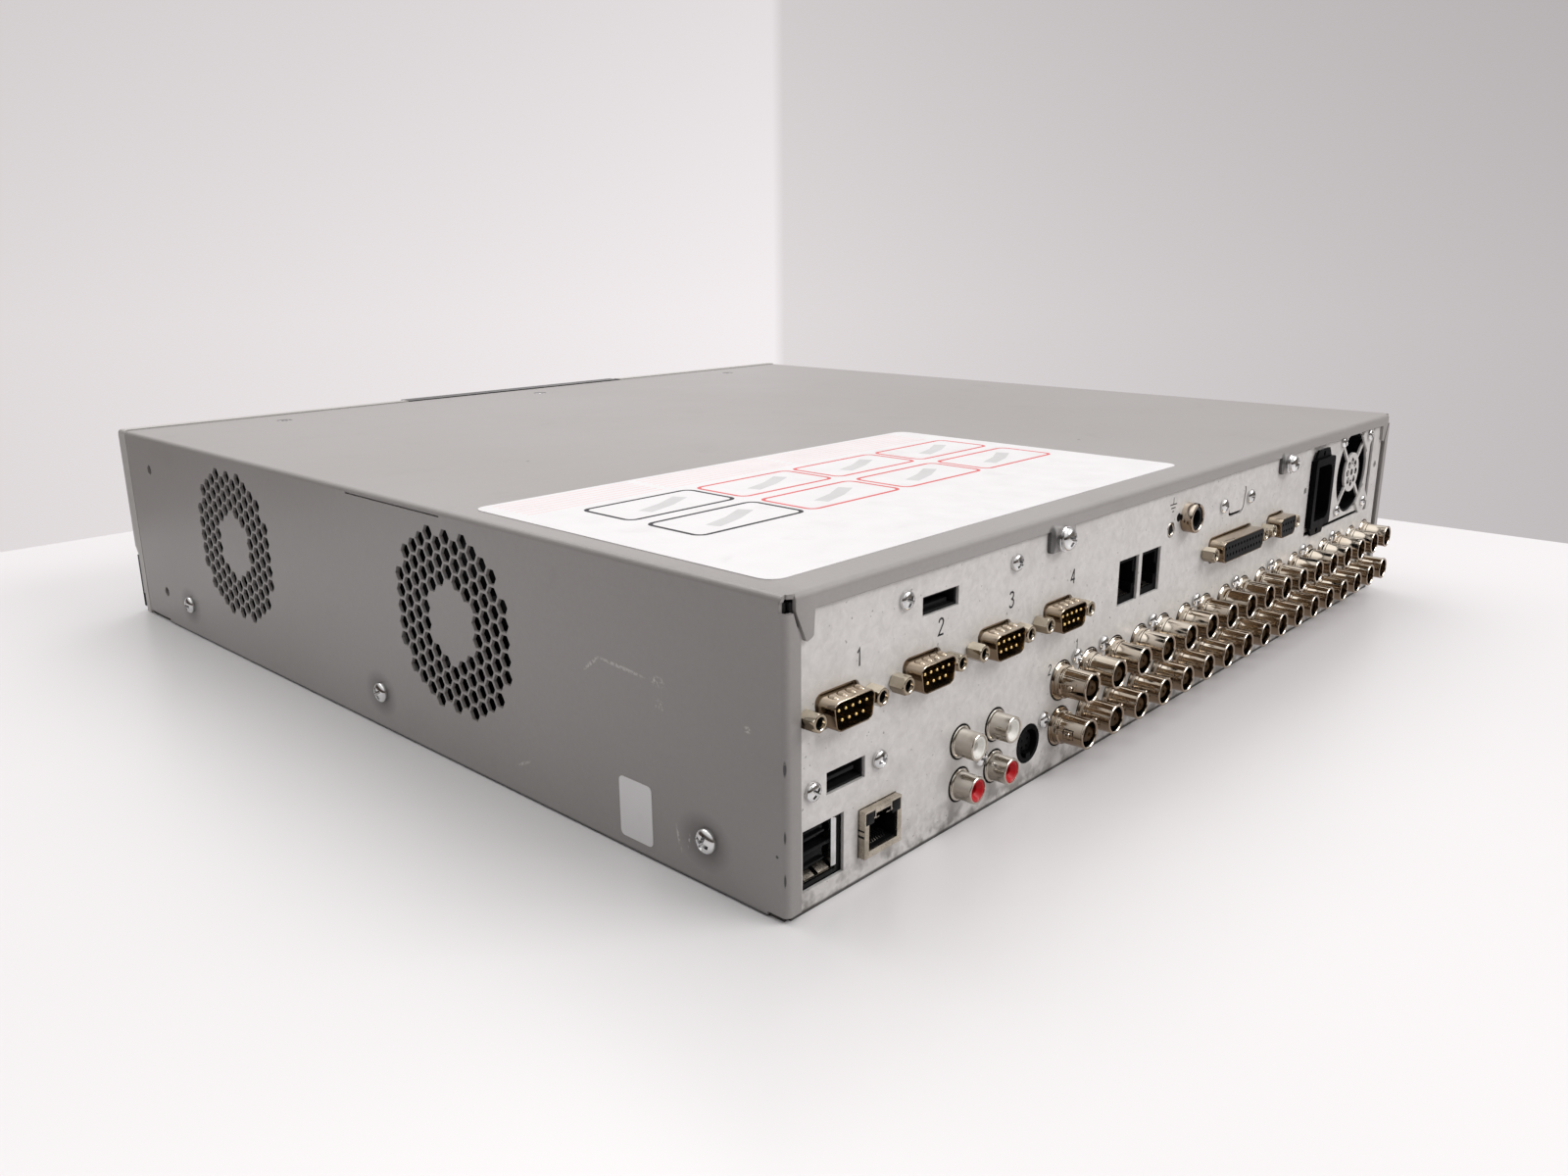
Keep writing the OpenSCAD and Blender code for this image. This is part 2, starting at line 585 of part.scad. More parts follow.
// Moulded blocks that carry the BNC sockets: one column alone, then two columns each
module bnc_housings() color(black) for (i = concat([0], [for (k = [1:2:bnc_columns - 1]) k])) {
    last = i == 0 ? 0 : min(i + 1, bnc_columns - 1);
    difference() {
        box(bnc_x[last] - bnc_pitch / 2 + 0.5, bnc_x[i] + bnc_pitch / 2 - 0.5,
            bnc_block_y - bnc_block_d, bnc_block_y, board_top, bnc_block_top);
        for (x = bnc_screw_x) on_rear(x, bnc_rows[1] + 6.2, -m3[3] - 0.5) cylinder(r = m3[2], h = 8);
    }
}

module dsub_shell(x, d) on_rear(x, dsub_z, -panel_t) {
    translate([0, 0, -1]) linear_extrude(1) difference() {
        polygon(rounded(rect(2 * d[2] + 6, 12.4), 1));
        polygon(rounded(d_shape(d[0] - 1, d[1] - 1), 1.8));
        for (s = [-1, 1]) translate([s * d[2], 0]) circle(r = 1.5);
    }
    linear_extrude(panel_t + dsub_len) difference() {
        polygon(rounded(d_shape(d[0], d[1]), 2.2));
        polygon(rounded(d_shape(d[0] - 1, d[1] - 1), 1.8));
    }
}

module dsub_shells() color(nickel) {
    for (x = serial_x) dsub_shell(x, d9);
    dsub_shell(alarm_x, d25);
    dsub_shell(relay_x, d9);
}

// Contact places of a two-row D-sub with n contacts, about its centre
function dsub_contacts(n) = let (top = ceil(n / 2), pitch = 2.77)
    [for (i = [0:n - 1]) i < top ? [(i - (top - 1) / 2) * pitch, 1.42]
                                 : [(i - top - (n - top - 1) / 2) * pitch, -1.42]];

// Moulded core of a D-sub; a core for sockets comes up to the rim and has contact holes
module dsub_insert(x, d, n, sockets) on_rear(x, dsub_z, -panel_t - 9) difference() {
    union() {
        linear_extrude(8) polygon(rounded(rect(d[0] + 2.5, 11), 1));
        translate([0, 0, 8]) linear_extrude(sockets ? panel_t + dsub_len + 0.8 : panel_t + 1.6)
            polygon(rounded(d_shape(d[0] - 1, d[1] - 1), 1.8));
    }
    for (p = dsub_contacts(n)) translate([p[0], p[1], sockets ? 11 : -1])
        cylinder(r = sockets ? 0.65 : 0.5, h = 20, $fn = 16);
}

module dsub_inserts() color(black) {
    for (x = serial_x) dsub_insert(x, d9, 9, false);
    dsub_insert(alarm_x, d25, 25, true);
    dsub_insert(relay_x, d9, 9, true);
}

module serial_pins() color(gold) for (x = serial_x, p = dsub_contacts(9))
    on_rear(x, dsub_z) translate([p[0], p[1], -panel_t - 9]) {
        cylinder(r = 0.5, h = panel_t + 9 + dsub_len - 1.1, $fn = 16);
        translate([0, 0, panel_t + 9 + dsub_len - 1.1]) sphere(r = 0.5, $fn = 16);
    }

module jackscrews() color([0.8, 0.72, 0.45]) {
    for (d = concat([for (x = serial_x) [x, d9]], [[alarm_x, d25], [relay_x, d9]]), s = [-1, 1])
        on_rear(d[0] + s * d[1][2], dsub_z) difference() {
            union() {
                cylinder(d = jack_af / cos(30), h = jack_len, $fn = 6);
                translate([0, 0, -panel_t - 4]) cylinder(r = 1.45, h = panel_t + 4.1);
            }
            translate([0, 0, 0.8]) cylinder(r = 1.2, h = jack_len);
            translate([0, 0, jack_len - 0.5]) cylinder(r1 = 1.2, r2 = 1.7, h = 0.51);
        }
}

// Metal shell of one or two stacked USB ports, its mouth at z = 0 and its depth towards -Z
module usb_shell(rows, depth) difference() {
    h = rows * 8 - 0.4;
    translate([-usb_w / 2, -h / 2, -depth]) cube([usb_w, h, depth]);
    for (r = [0:rows - 1])
        translate([usb_wall - usb_w / 2, -h / 2 + usb_wall + r * 8, -depth + 1])
            cube([usb_w - 2 * usb_wall, 7.6 - 2 * usb_wall, depth]);
}

module usb_tongue(rows, depth) for (r = [0:rows - 1])
    translate([-5.6, -(rows * 8 - 0.4) / 2 + 4.2 + r * 8, -depth + 1]) cube([11.2, 1.9, depth - 1.6]);

module front_usb() for (x = front_usb_x) on_front(x, front_usb_z, band_face + 0.2) children();

module usb_shells() color(nickel) {
    on_rear(usb_x + 0.5, usb_z + 0.8, -1.6) usb_shell(2, 17);
    front_usb() usb_front_shell();
}

// Low-profile port for the front board: narrower walls than the rear stack
module usb_front_shell() difference() {
    translate([-6.9, -3.3, -12]) cube([13.8, 6.6, 12]);
    translate([-6.4, -2.8, -11]) cube([12.8, 5.6, 12]);
}

module usb_tongues() color(black) {
    on_rear(usb_x + 0.5, usb_z + 0.8, -1.6) usb_tongue(2, 17);
    front_usb() translate([-5.6, 0.3, -11]) cube([11.2, 1.9, 10]);
}

module network_shell() color(nickel) on_rear(network_x, network_z, network_out) difference() {
    translate([-8, -7, -15]) cube([16, 14, 15]);
    translate([-6.2, -5, -13.6]) cube([12.4, 9, 14]);
    translate([-3.2, 3.9, -13.6]) cube([6.4, 1.6, 14]);
    for (s = [-1, 1]) translate([s * 5.5 - 1.9, 4.4, -1]) cube([3.8, 2, 2]);
}

module network_insert() color(black) on_rear(network_x, network_z, network_out) {
    difference() {
        translate([-6.2, -5, -13.6]) cube([12.4, 9, 13]);
        translate([-5.8, -4.6, -12]) cube([11.6, 7.6, 13]);
        translate([-3.2, 2, -12]) cube([6.4, 3, 13]);
    }
    for (i = [0:7]) translate([-3.57 + i * 1.02 - 0.2, -4.6, -12]) cube([0.4, 1.4, 9]);
    for (s = [-1, 1]) translate([s * 5.5 - 1.9, 4.4, -1]) cube([3.8, 2, 0.9]);
}

module hdmi_esata_sockets() color([0.16, 0.16, 0.17]) {
    on_rear(hdmi_x, hdmi_z, -panel_t) {
        difference() {
            translate([-7.7, -3, -11]) cube([15.4, 6, 11]);
            translate([-7.2, -2.4, -10]) cube([14.4, 4.9, 11]);
        }
        translate([-5.4, -0.5, -10]) cube([10.8, 1, 9]);
    }
    on_rear(esata_x, esata_z, -panel_t) {
        difference() {
            translate([-8.3, -2.7, -11]) cube([16.6, 5.4, 11]);
            translate([-7.6, -2, -10]) cube([15.2, 4, 11]);
        }
        translate([-6, -1.9, -10]) cube([12, 1.3, 8.5]);
    }
    // brackets that hold both on the rear panel
    difference() {
        on_rear(hdmi_x, hdmi_z, -panel_t - 1) linear_extrude(1) difference() {
            square([33, 6.5], center = true);
            square([15.4, 6], center = true);
            for (s = [-1, 1]) translate([s * 13.65, 0]) circle(r = 1.5);
        }
        on_rear(hdmi_x - 13.7, hdmi_z + 0.2, -panel_t - 2) cylinder(r = 1.5, h = 4);
    }
    on_rear(esata_x, esata_z, -panel_t - 1) linear_extrude(1) difference() {
        translate([-46, -3.2]) square([66, 9.4]);
        square([16.6, 5.4], center = true);
        translate([-16.2, 76.6 - esata_z]) circle(r = 1.5);
        translate([esata_x - half_w + 103, 76.6 - esata_z]) circle(r = 1.5);
    }
}

module keypad_sockets() color(black) for (x = keypad_x) on_rear(x, keypad_z, -panel_t) difference() {
    translate([-8, -8.4, -16]) cube([16, 16.8, 16]);
    translate([-6.2, -5.6, -14]) cube([10.6, 12.2, 15]);
    translate([4, -2.2, -14]) cube([1.8, 4.4, 15]);
}

module phono_places(z) for (x = phono_x) on_rear(x, z) children();

module phono_barrels() color(nickel) for (z = phono_z) phono_places(z) rotate_extrude()
    polygon([
        [phono_core_r, -panel_t - gap], [5.3, -panel_t - gap], [5.3, 0.5], [phono_r, 0.8],
        [phono_r, phono_len - 0.3], [phono_r - 0.3, phono_len], [phono_core_r, phono_len]]);

module phono_insert() difference() {
    translate([0, 0, -panel_t - 10]) union() {
        cylinder(r = phono_core_r, h = panel_t + 9.6 + phono_len);
        translate([-4.4, -6, 0]) cube([8.8, 12.2, 9.6]);
    }
    translate([0, 0, -2]) cylinder(r = 1.65, h = 12);
    translate([0, 0, phono_len - 1.9]) cylinder(r1 = 1.65, r2 = 2.9, h = 1.6);
}

module phono_white_inserts() color("white") phono_places(phono_z[1]) phono_insert();
module phono_red_inserts() color("red") phono_places(phono_z[0]) phono_insert();

module s_video_socket() color(black) on_rear(video_x, video_z, -panel_t) {
    difference() {
        union() {
            cylinder(r = 6.3, h = panel_t + 0.3);
            translate([-7, -7, -12]) cube([14, 13.6, 12]);
        }
        translate([0, 0, -5]) difference() {
            cylinder(r = 4.9, h = 10);
            translate([-1.2, -5, -1]) cube([2.4, 1.8, 20]);
            translate([0, 0, -1]) cylinder(r = 3.7, h = 5 + panel_t - 0.3);
        }
        for (p = [[-1.7, 0.9], [1.7, 0.9], [-1.3, -1.5], [1.3, -1.5]]) translate([p[0], p[1], -4])
            cylinder(r = 0.5, h = 12, $fn = 16);
    }
}

module ir_socket() color(nickel) on_rear(ir_x, ir_z) difference() {
    union() {
        cylinder(r = 5.5, h = 4.4);
        translate([0, 0, -panel_t - 1]) cylinder(r = 4.9, h = panel_t + 1.1);
        translate([-6, -5.4, -panel_t - 12]) cube([12, 11, 12]);
    }
    translate([0, 0, -6]) cylinder(r = 4.3, h = 20);
}

// ---- Power supply ----

module psu_case() color(zinc) translate([psu_x0, panel_in, psu_z0]) {
    difference() {
        translate([0, -psu_d, 0]) cube([psu_w, psu_d, psu_h]);
        translate([psu_t, psu_t - psu_d, psu_t])
            cube([psu_w - 2 * psu_t, psu_d - 2 * psu_t, psu_h - 2 * psu_t]);
        translate([inlet_x - psu_x0 - inlet_w / 2 + 1, -2, inlet_z - psu_z0 - inlet_h / 2 + 1])
            cube([inlet_w - 2, 4, inlet_h - 2]);
        translate([0, 0.5, 0]) slab_y(0, 2) translate([psu_fan_x - psu_x0, psu_h / 2]) psu_grille();
        for (x = [-1, 1], z = [-1, 1])
            translate([psu_fan_x - psu_x0 + x * psu_fan_holes, 1, psu_h / 2 + z * psu_fan_holes])
                rotate([90, 0, 0]) cylinder(r = 1.5, h = 4);
        for (i = [0:7]) translate([8 + i * 9, -psu_d - 1, 8]) cube([4, 4, psu_h - 16]);
    }
}

// Four arc openings round a drilled hub, drawn about the fan's axis
module psu_grille() {
    difference() {
        circle(r = psu_fan / 2 - 1, $fn = 64);
        circle(r = psu_fan * 0.23, $fn = 48);
        for (a = [45, 135]) rotate(a) square([psu_fan * 2, 1.6], center = true);
    }
    for (a = [0:45:315]) rotate(a) translate([psu_fan * 0.145, 0]) circle(r = 1.15, $fn = 16);
    circle(r = 1.15, $fn = 16);
}

module mains_inlet() color(black) on_rear(inlet_x, inlet_z) {
    difference() {
        union() {
            linear_extrude(inlet_proud) polygon(rounded(rect(inlet_w, inlet_h), 1.5));
            for (s = [0, 1]) mirror([0, s, 0]) linear_extrude(1) difference() {
                polygon([
                    [-inlet_w / 2 + 1, inlet_h / 2 - 2], [inlet_w / 2 - 1, inlet_h / 2 - 2],
                    [inlet_w * 0.28, inlet_h / 2 + inlet_ear], [-inlet_w * 0.28, inlet_h / 2 + inlet_ear]]);
                translate([0, inlet_h / 2 + inlet_ear / 2]) circle(r = 1.2);
            }
            translate([-inlet_w / 2 + 1, -inlet_h / 2 + 1, -16]) cube([inlet_w - 2, inlet_h - 2, 16.1]);
        }
        translate([0, 0, -14]) linear_extrude(30)
            polygon(rounded([[-8.2, -12.2], [8.2, -12.2], [8.2, 12.2], [-8.2, 12.2]], [0.6, 4, 4, 0.6], 3));
    }
    for (p = [[-1.8, 7, 4, 2], [-1.8, -7, 4, 2], [3.2, 0, 4, 2]])
        translate([p[0], p[1], -14.5]) linear_extrude(inlet_proud + 9.5)
            square([p[2], p[3]], center = true);
}

// ---- Fans ----

// Square fan frame on z = 0..depth: rim, four struts and the post that the rotor runs on
module fan_frame(w, depth, holes) {
    hub = w * 0.2;
    linear_extrude(depth) difference() {
        polygon(rounded(rect(w, w), w * 0.06));
        circle(r = w / 2 - 1.2, $fn = 64);
        for (x = [-1, 1], y = [-1, 1]) translate([x, y] * holes) circle(r = 1.6);
    }
    linear_extrude(2) intersection() {
        union() {
            circle(r = hub);
            for (a = [0, 90]) rotate(a + 20) square([w, 2.6], center = true);
        }
        circle(r = w / 2 - 0.6, $fn = 64);
    }
    cylinder(r = 1.5, h = depth - 3);
}

// Rotor for that frame: hub with a blind bore, and pitched blades trimmed to a ring
module fan_rotor(w, depth, blades) difference() {
    z0 = 2.6;
    h = depth - 3.6;
    union() {
        translate([0, 0, z0]) cylinder(r = w * 0.2, h = h);
        intersection() {
            for (i = [0:blades - 1]) rotate(i * 360 / blades) translate([w * 0.19, 0, z0 + h / 2])
                rotate([38, 0, 0]) translate([0, -w * 0.15, -0.5]) cube([w * 0.35, w * 0.3, 1]);
            translate([0, 0, z0 + 0.4]) cylinder(r = w / 2 - 2, h = h - 0.8);
        }
    }
    translate([0, 0, z0 - 1]) cylinder(r = 1.5 + run_gap, h = depth - 3 + gap - z0 + 1);
}

module at_psu_fan() translate([psu_fan_x, panel_in - psu_t - psu_fan_d, psu_fan_z]) rotate([90, 0, 180])
    children();
module at_side_fan(y) translate([fan_x, y, vent_z]) rotate([0, 90, 0]) children();

module fan_frames() color(black) {
    at_psu_fan() fan_frame(psu_fan - 2, psu_fan_d, psu_fan_holes);
    for (y = fan_y) at_side_fan(y) fan_frame(side_fan, side_fan_d, side_fan * 0.44);
}

module psu_fan_rotor() color(black) at_psu_fan() fan_rotor(psu_fan - 2, psu_fan_d, 7);
module front_side_fan_rotor() color(black) at_side_fan(fan_y[0]) fan_rotor(side_fan, side_fan_d, 7);
module rear_side_fan_rotor() color(black) at_side_fan(fan_y[1]) fan_rotor(side_fan, side_fan_d, 7);

// ---- Boards ----

module main_board() color(board_green)
    box(-wall_in + 6, wall_in - 2.4, board_edge, panel_in - 1.2, board_z, board_top);

module io_board() color(board_green) difference() {
    box(io_x0, wall_in - 4, panel_in - io_d, panel_in - 1.2, io_z, io_top);
    box(psu_x0, psu_x0 + psu_w + 1, panel_in - io_d - 1, panel_in, io_z - 1, io_top + 1);
}

module board_standoffs() color(zinc) {
    at([for (x = standoff_x, y = standoff_y) [x, y, tray_t]])
        cylinder(d = 6, h = board_z - tray_t, $fn = 6);
    at([for (x = io_post_x, y = io_post_y) [x, y, board_top]])
        cylinder(d = 5.4, h = io_z - board_top, $fn = 6);
    // spacers between the tray's front wall and the front boards
    for (x = [86, 152, 206], z = [36, 80]) on_front(x, z, board_face)
        cylinder(d = 5, h = board_face - front_in);
    for (x = [-205, -95], z = [39, 79]) on_front(x, z, board_face)
        cylinder(d = 5, h = board_face - front_in);
}

module heat_sink() color([0.75, 0.76, 0.78]) translate([110, panel_in - 100, board_top]) {
    translate([-22, -22, 0]) cube([44, 44, 4]);
    for (i = [0:10]) translate([-22 + i * 4.3, -22, 3.9]) cube([1, 44, 22]);
}

// Chips, capacitors, a memory module in its socket and the plugs on the main board
module board_parts() color([0.13, 0.13, 0.14]) {
    for (i = [0:3]) translate([-180 + i * 52, panel_in - 84, board_top]) cube([24, 24, 2.4]);
    for (i = [0:5]) translate([150 + (i % 2) * 12, panel_in - 150 + floor(i / 2) * 14, board_top])
        cylinder(d = 8, h = 12);
    translate([40, panel_in - 168, board_top]) {
        cube([8, 140, 7]);
        translate([3.2, 4, 7]) cube([1.6, 132, 24]);
    }
    translate([drive_x - 27, board_edge + 2, board_top]) cube([54, 6, 8]);
    translate([psu_x0 + 30, board_edge + 2, board_top]) cube([24, 8, 9]);
}

// ---- Drives ----

module hard_drives() color([0.62, 0.63, 0.65]) for (x = cage_x, z = hdd_z)
    translate([x - hdd_w / 2, hdd_y0, z]) {
    difference() {
        cube([hdd_w, hdd_d, hdd_h]);
        translate([4, 4, hdd_h - 0.6]) linear_extrude(1)
            polygon(rounded([[0, 14], [14, 0], [hdd_w - 8, 0], [hdd_w - 8, hdd_d - 22],
            [hdd_w - 22, hdd_d - 8], [0, hdd_d - 8]], 5));
    }
}

module drive_cages() color(zinc) for (x = cage_x) {
    top = hdd_z[1] + hdd_h + 4;
    for (s = [-1, 1]) {
        x0 = x + s * (hdd_w + cage_t) / 2;
        box(x0 - cage_t / 2, x0 + cage_t / 2, hdd_y0, hdd_y0 + hdd_d, tray_t, top);
        box(min(x0, x0 + s * 7), max(x0, x0 + s * 7), hdd_y0, hdd_y0 + hdd_d, tray_t, tray_t + cage_t);
    }
    box(x - hdd_w / 2 - cage_t, x + hdd_w / 2 + cage_t, hdd_y0, hdd_y0 + hdd_d, top, top + cage_t);
}

// Two angle plates that carry the optical drive by its sides
module drive_brackets() color(zinc) for (s = [-1, 1]) {
    x0 = drive_x + s * (optical_w + cage_t) / 2;
    box(x0 - cage_t / 2, x0 + cage_t / 2, y_front + 20, y_front + 150, tray_t, optical_z0 + 24);
    box(min(x0, x0 + s * 6), max(x0, x0 + s * 6), y_front + 20, y_front + 150, tray_t, tray_t + cage_t);
}

// Steel body of the optical drive, open at the front, with the rails that the tray slides on
module optical_drive() color([0.7, 0.7, 0.72]) {
    x0 = drive_x - optical_w / 2;
    difference() {
        translate([x0, y_front, optical_z0]) cube([optical_w, optical_d, optical_h]);
        translate([x0 + 1, y_front - 1, optical_z0 + 1]) cube([optical_w - 2, optical_d, optical_h - 2]);
    }
    for (s = [0, 1]) translate([drive_x, 0, 0]) mirror([s, 0, 0]) {
        box(tray_plate_w / 2 - 3, optical_w / 2 - 0.9, y_front + 2, y_front + optical_d - 8, tray_z - 6,
            tray_z - tray_plate_t / 2 - gap);
    }
}

module drive_bezel() color(black) {
    slab_y(y_front, y_front - bezel_y) difference() {
        polygon(rounded([[drive_x - bezel_w / 2, bezel_z0], [drive_x + bezel_w / 2, bezel_z0],
                         [drive_x + bezel_w / 2, bezel_top], [drive_x - bezel_w / 2, bezel_top]], 1));
        square_at(tray_slot_w + 2 * gap, tray_slot_h + 2 * gap, drive_x, tray_z);
        square_at(eject_w + 2 * gap, eject_h + 2 * gap, eject_x, eject_z);
        translate([eject_x - 18, eject_z]) circle(r = 1.1);
    }
}

// Tray with its front plate and the well for a disc
module disc_tray() color([0.1, 0.1, 0.11]) {
    y0 = bezel_y + 4;
    slab_y(y0, 3.6) polygon(rounded(rect(tray_slot_w, tray_slot_h, drive_x, tray_z), 1));
    difference() {
        translate([drive_x - tray_plate_w / 2, y0 - 0.1, tray_z - tray_plate_t / 2])
            cube([tray_plate_w, tray_travel + 14, tray_plate_t]);
        translate([drive_x, y0 + disc_r + 8, tray_z - tray_plate_t / 2 + 2.4])
            cylinder(r = disc_r, h = 5, $fn = 96);
        translate([drive_x - 18, y0 + disc_r + 8 - 20, tray_z - 5]) cube([36, 90, 10]);
    }
}

module eject_button() color([0.12, 0.12, 0.13]) {
    slab_y(y_front + gap, y_front + gap - bezel_y + 0.8)
        polygon(rounded(rect(eject_w, eject_h, eject_x, eject_z), 0.6));
    slab_y(y_front + gap + 1, 1) square_at(eject_w + 2, eject_h + 1.2, eject_x, eject_z);
}

module drive_ribbon() color([0.65, 0.65, 0.68]) slab_x(drive_x - 25.4, 50.8)
    polygon(quarter_band([y_front + optical_d, optical_z0 + 14], [board_edge + 5, board_top + 8], 0.9, 16));

module power_loom() color([0.2, 0.18, 0.16]) slab_x(psu_x0 + 33, 18)
    polygon(quarter_band([panel_in - psu_d, psu_z0 + 20], [board_edge + 6, board_top + 9], 4, 12));

// ---- Front ----

// Outer form of the fascia: its profile in (y, z), with the top corners rounded as seen from the front
module fascia_form(wall) intersection() {
    slab_x(-half_w + wall, case_w - 2 * wall)
        polygon(rounded(
            [[y_front + wall, band_z + wall], [y_front + wall, fascia_top - wall],
             [face_y + wall, fascia_top - wall], [face_y + wall, band_z + chamfer_h + wall],
             [band_face + wall, band_z + wall]],
            [0, 0, fascia_round - wall, 0, 0]));
    slab_y(y_front + 2 * wall, fascia_d + 2 * wall)
        polygon(rounded(rect(case_w - 2 * wall, 2 * fascia_top - 2 * wall), 1.5));
}

module fascia() color(fascia_grey) {
    // hollow body above the band
    difference() {
        fascia_form(0);
        fascia_form(fascia_t);
        slab_y(y_front + 1, fascia_d + 2) {
            translate([drive_x - bezel_w / 2 - gap, bezel_z0 - gap]) square([bezel_w + 2 * gap, 60]);
            square_at(window_w + 2 * gap, window_h + 2 * gap, window_x, window_z);
            for (x = key_x, z = key_z) square_at(key_w + 2 * gap, key_h + 2 * gap, x, z);
            translate([dial_x, dial_z]) circle(r = bush_r + gap);
            for (x = lens_x) translate([x, lens_z]) circle(r = lens_r + run_gap);
        }
    }
    // face behind the flap, in front of the tray, set back round the flap's hinge
    slab_y(y_front, y_front - band_face) front_socket_face(flap_z + flap_barrel_r + gap + 0.6, band_z);
    slab_y(y_front, y_front - flap_y - flap_barrel_r - gap)
        front_socket_face(skirt_gap, flap_z + flap_barrel_r + gap + 0.6);
}

module front_socket_face(z0, z1) difference() {
    translate([-half_w, z0]) square([case_w, z1 - z0]);
    for (x = front_usb_x) square_at(14.2, 7, x, front_usb_z);
}

// Black strip under the flap with a cheek at each end that holds the flap's pivots
module lower_trim() color(black) {
    lip_z = flap_z - flap_barrel_r - gap;
    box(-half_w + gap, half_w - gap, face_y, flap_y + flap_barrel_r, 2.4, lip_z);
    for (s = [0, 1]) mirror([s, 0, 0]) slab_x(half_w - cheek, cheek - gap) difference() {
        union() {
            translate([face_y, lip_z - 0.1]) square([band_face - face_y, band_z - gap - lip_z + 0.1]);
            translate([face_y, lip_z - 0.1]) square([2 * flap_barrel_r, flap_z + flap_barrel_r - lip_z]);
        }
        translate([flap_y, flap_z]) circle(r = flap_pin_r + run_gap);
    }
}

module front_flap() color(black) {
    slab_x(-flap_half, 2 * flap_half) {
        translate([face_y, flap_z]) square([flap_t, flap_top - flap_z]);
        translate([flap_y, flap_z]) circle(r = flap_barrel_r);
    }
    for (s = [-1, 1]) translate([s * flap_half, flap_y, flap_z]) rotate([0, 90 * s, 0])
        translate([0, 0, -0.1]) cylinder(r = flap_pin_r, h = cheek + 0.1);
}

module display_window() color([0.15, 0.12, 0.12, 0.8]) slab_y(face_y + 2, 1.8)
    polygon(rounded(rect(window_w, window_h, window_x, window_z), 0.8));

module display_module() color([0.1, 0.16, 0.12]) {
    slab_y(board_y, board_t) square_at(120, 50, window_x, window_z - 1);
    slab_y(board_face, board_face - face_y - 2.6) square_at(window_w - 2, window_h - 2, window_x, window_z);
}

module indicator_lenses() color([0.4, 0.9, 0.4]) for (x = lens_x)
    on_front(x, lens_z, board_face) cylinder(r = lens_r, h = board_face - face_y + 0.4);

module key(x, z) {
    slab_y(key_back + key_rim, key_proud + fascia_t + gap + key_rim)
        polygon(rounded(rect(key_w, key_h, x, z), 1.2));
    slab_y(key_back + key_rim, key_rim) square_at(key_w + 2 * key_rim, key_h + 2 * key_rim, x, z);
    on_front(x, z, key_back + key_rim + stem_len) cylinder(r = 1.8, h = stem_len + 0.1);
}

module play_key() color([0.25, 0.25, 0.27]) key(key_x[0], key_z[0]);
module pause_key() color([0.25, 0.25, 0.27]) key(key_x[1], key_z[0]);
module stop_key() color([0.25, 0.25, 0.27]) key(key_x[2], key_z[0]);
module rewind_key() color([0.25, 0.25, 0.27]) key(key_x[0], key_z[1]);
module forward_key() color([0.25, 0.25, 0.27]) key(key_x[1], key_z[1]);
module record_key() color([0.6, 0.1, 0.1]) key(key_x[2], key_z[1]);

// Board with one switch behind each key
module key_board() color(board_green) {
    slab_y(board_y, board_t) translate([80, 30]) square([130, 55]);
    for (x = key_x, z = key_z) slab_y(board_face, switch_t) square_at(6, 6, x, z);
}

// Encoder on the front board with the fixed bush that both dials turn on
module dial_encoder() color([0.5, 0.5, 0.52]) on_front(dial_x, dial_z, board_face) difference() {
    union() {
        translate([-7, -7, 0]) cube([14, 14, board_face - front_in]);
        cylinder(r = bush_r, h = board_face - face_y + 2.2);
    }
    translate([0, 0, 1]) cylinder(r = jog_shaft_r + run_gap, h = 40);
}

module shuttle_ring() color([0.14, 0.14, 0.15]) on_front(dial_x, dial_z, face_y - gap)
    rotate_extrude($fn = 96) polygon([
        [bush_r + run_gap, 0], [shuttle_r, 0], [shuttle_r, 5.4], [shuttle_r - 1.4, 6.8],
        [jog_r + gap + 0.3, 6.8], [jog_r + gap, 6.5], [jog_r + gap, 1.9], [bush_r + run_gap, 1.9]]);

module jog_dial() color([0.3, 0.3, 0.32]) on_front(dial_x, dial_z, face_y - gap) difference() {
    union() {
        translate([0, 0, 2.4]) rotate_extrude($fn = 96)
            polygon([[0, 0], [jog_r, 0], [jog_r, 5.4], [jog_r - 1.2, 6.6], [0, 6.6]]);
        translate([0, 0, -shaft_back]) cylinder(r = jog_shaft_r, h = shaft_back + 2.5);
    }
    translate([0, jog_r * 0.6, 2.4 + 6.6 + 4.4]) sphere(r = 6);
}

base_tray();
rear_panel();
top_cover();
fascia();
lower_trim();
front_flap();
display_window();
display_module();
key_board();
dial_encoder();
jog_dial();
shuttle_ring();
play_key();
pause_key();
stop_key();
rewind_key();
forward_key();
record_key();
indicator_lenses();
optical_drive();
drive_bezel();
disc_tray();
eject_button();
drive_brackets();
drive_cages();
hard_drives();
main_board();
board_standoffs();
heat_sink();
board_parts();
io_board();
bnc_housings();
bnc_barrels();
bnc_insulators();
bnc_contacts();
dsub_shells();
dsub_inserts();
serial_pins();
jackscrews();
usb_shells();
usb_tongues();
network_shell();
network_insert();
hdmi_esata_sockets();
keypad_sockets();
phono_barrels();
phono_white_inserts();
phono_red_inserts();
s_video_socket();
ir_socket();
psu_case();
mains_inlet();
fan_frames();
psu_fan_rotor();
front_side_fan_rotor();
rear_side_fan_rotor();
screws();
labels();
drive_ribbon();
power_loom();
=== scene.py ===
"""Looks of the rack-width video recorder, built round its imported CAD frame. Lengths are in metres."""

import json
import math

import bmesh
import bpy
from mathutils import Matrix, Vector


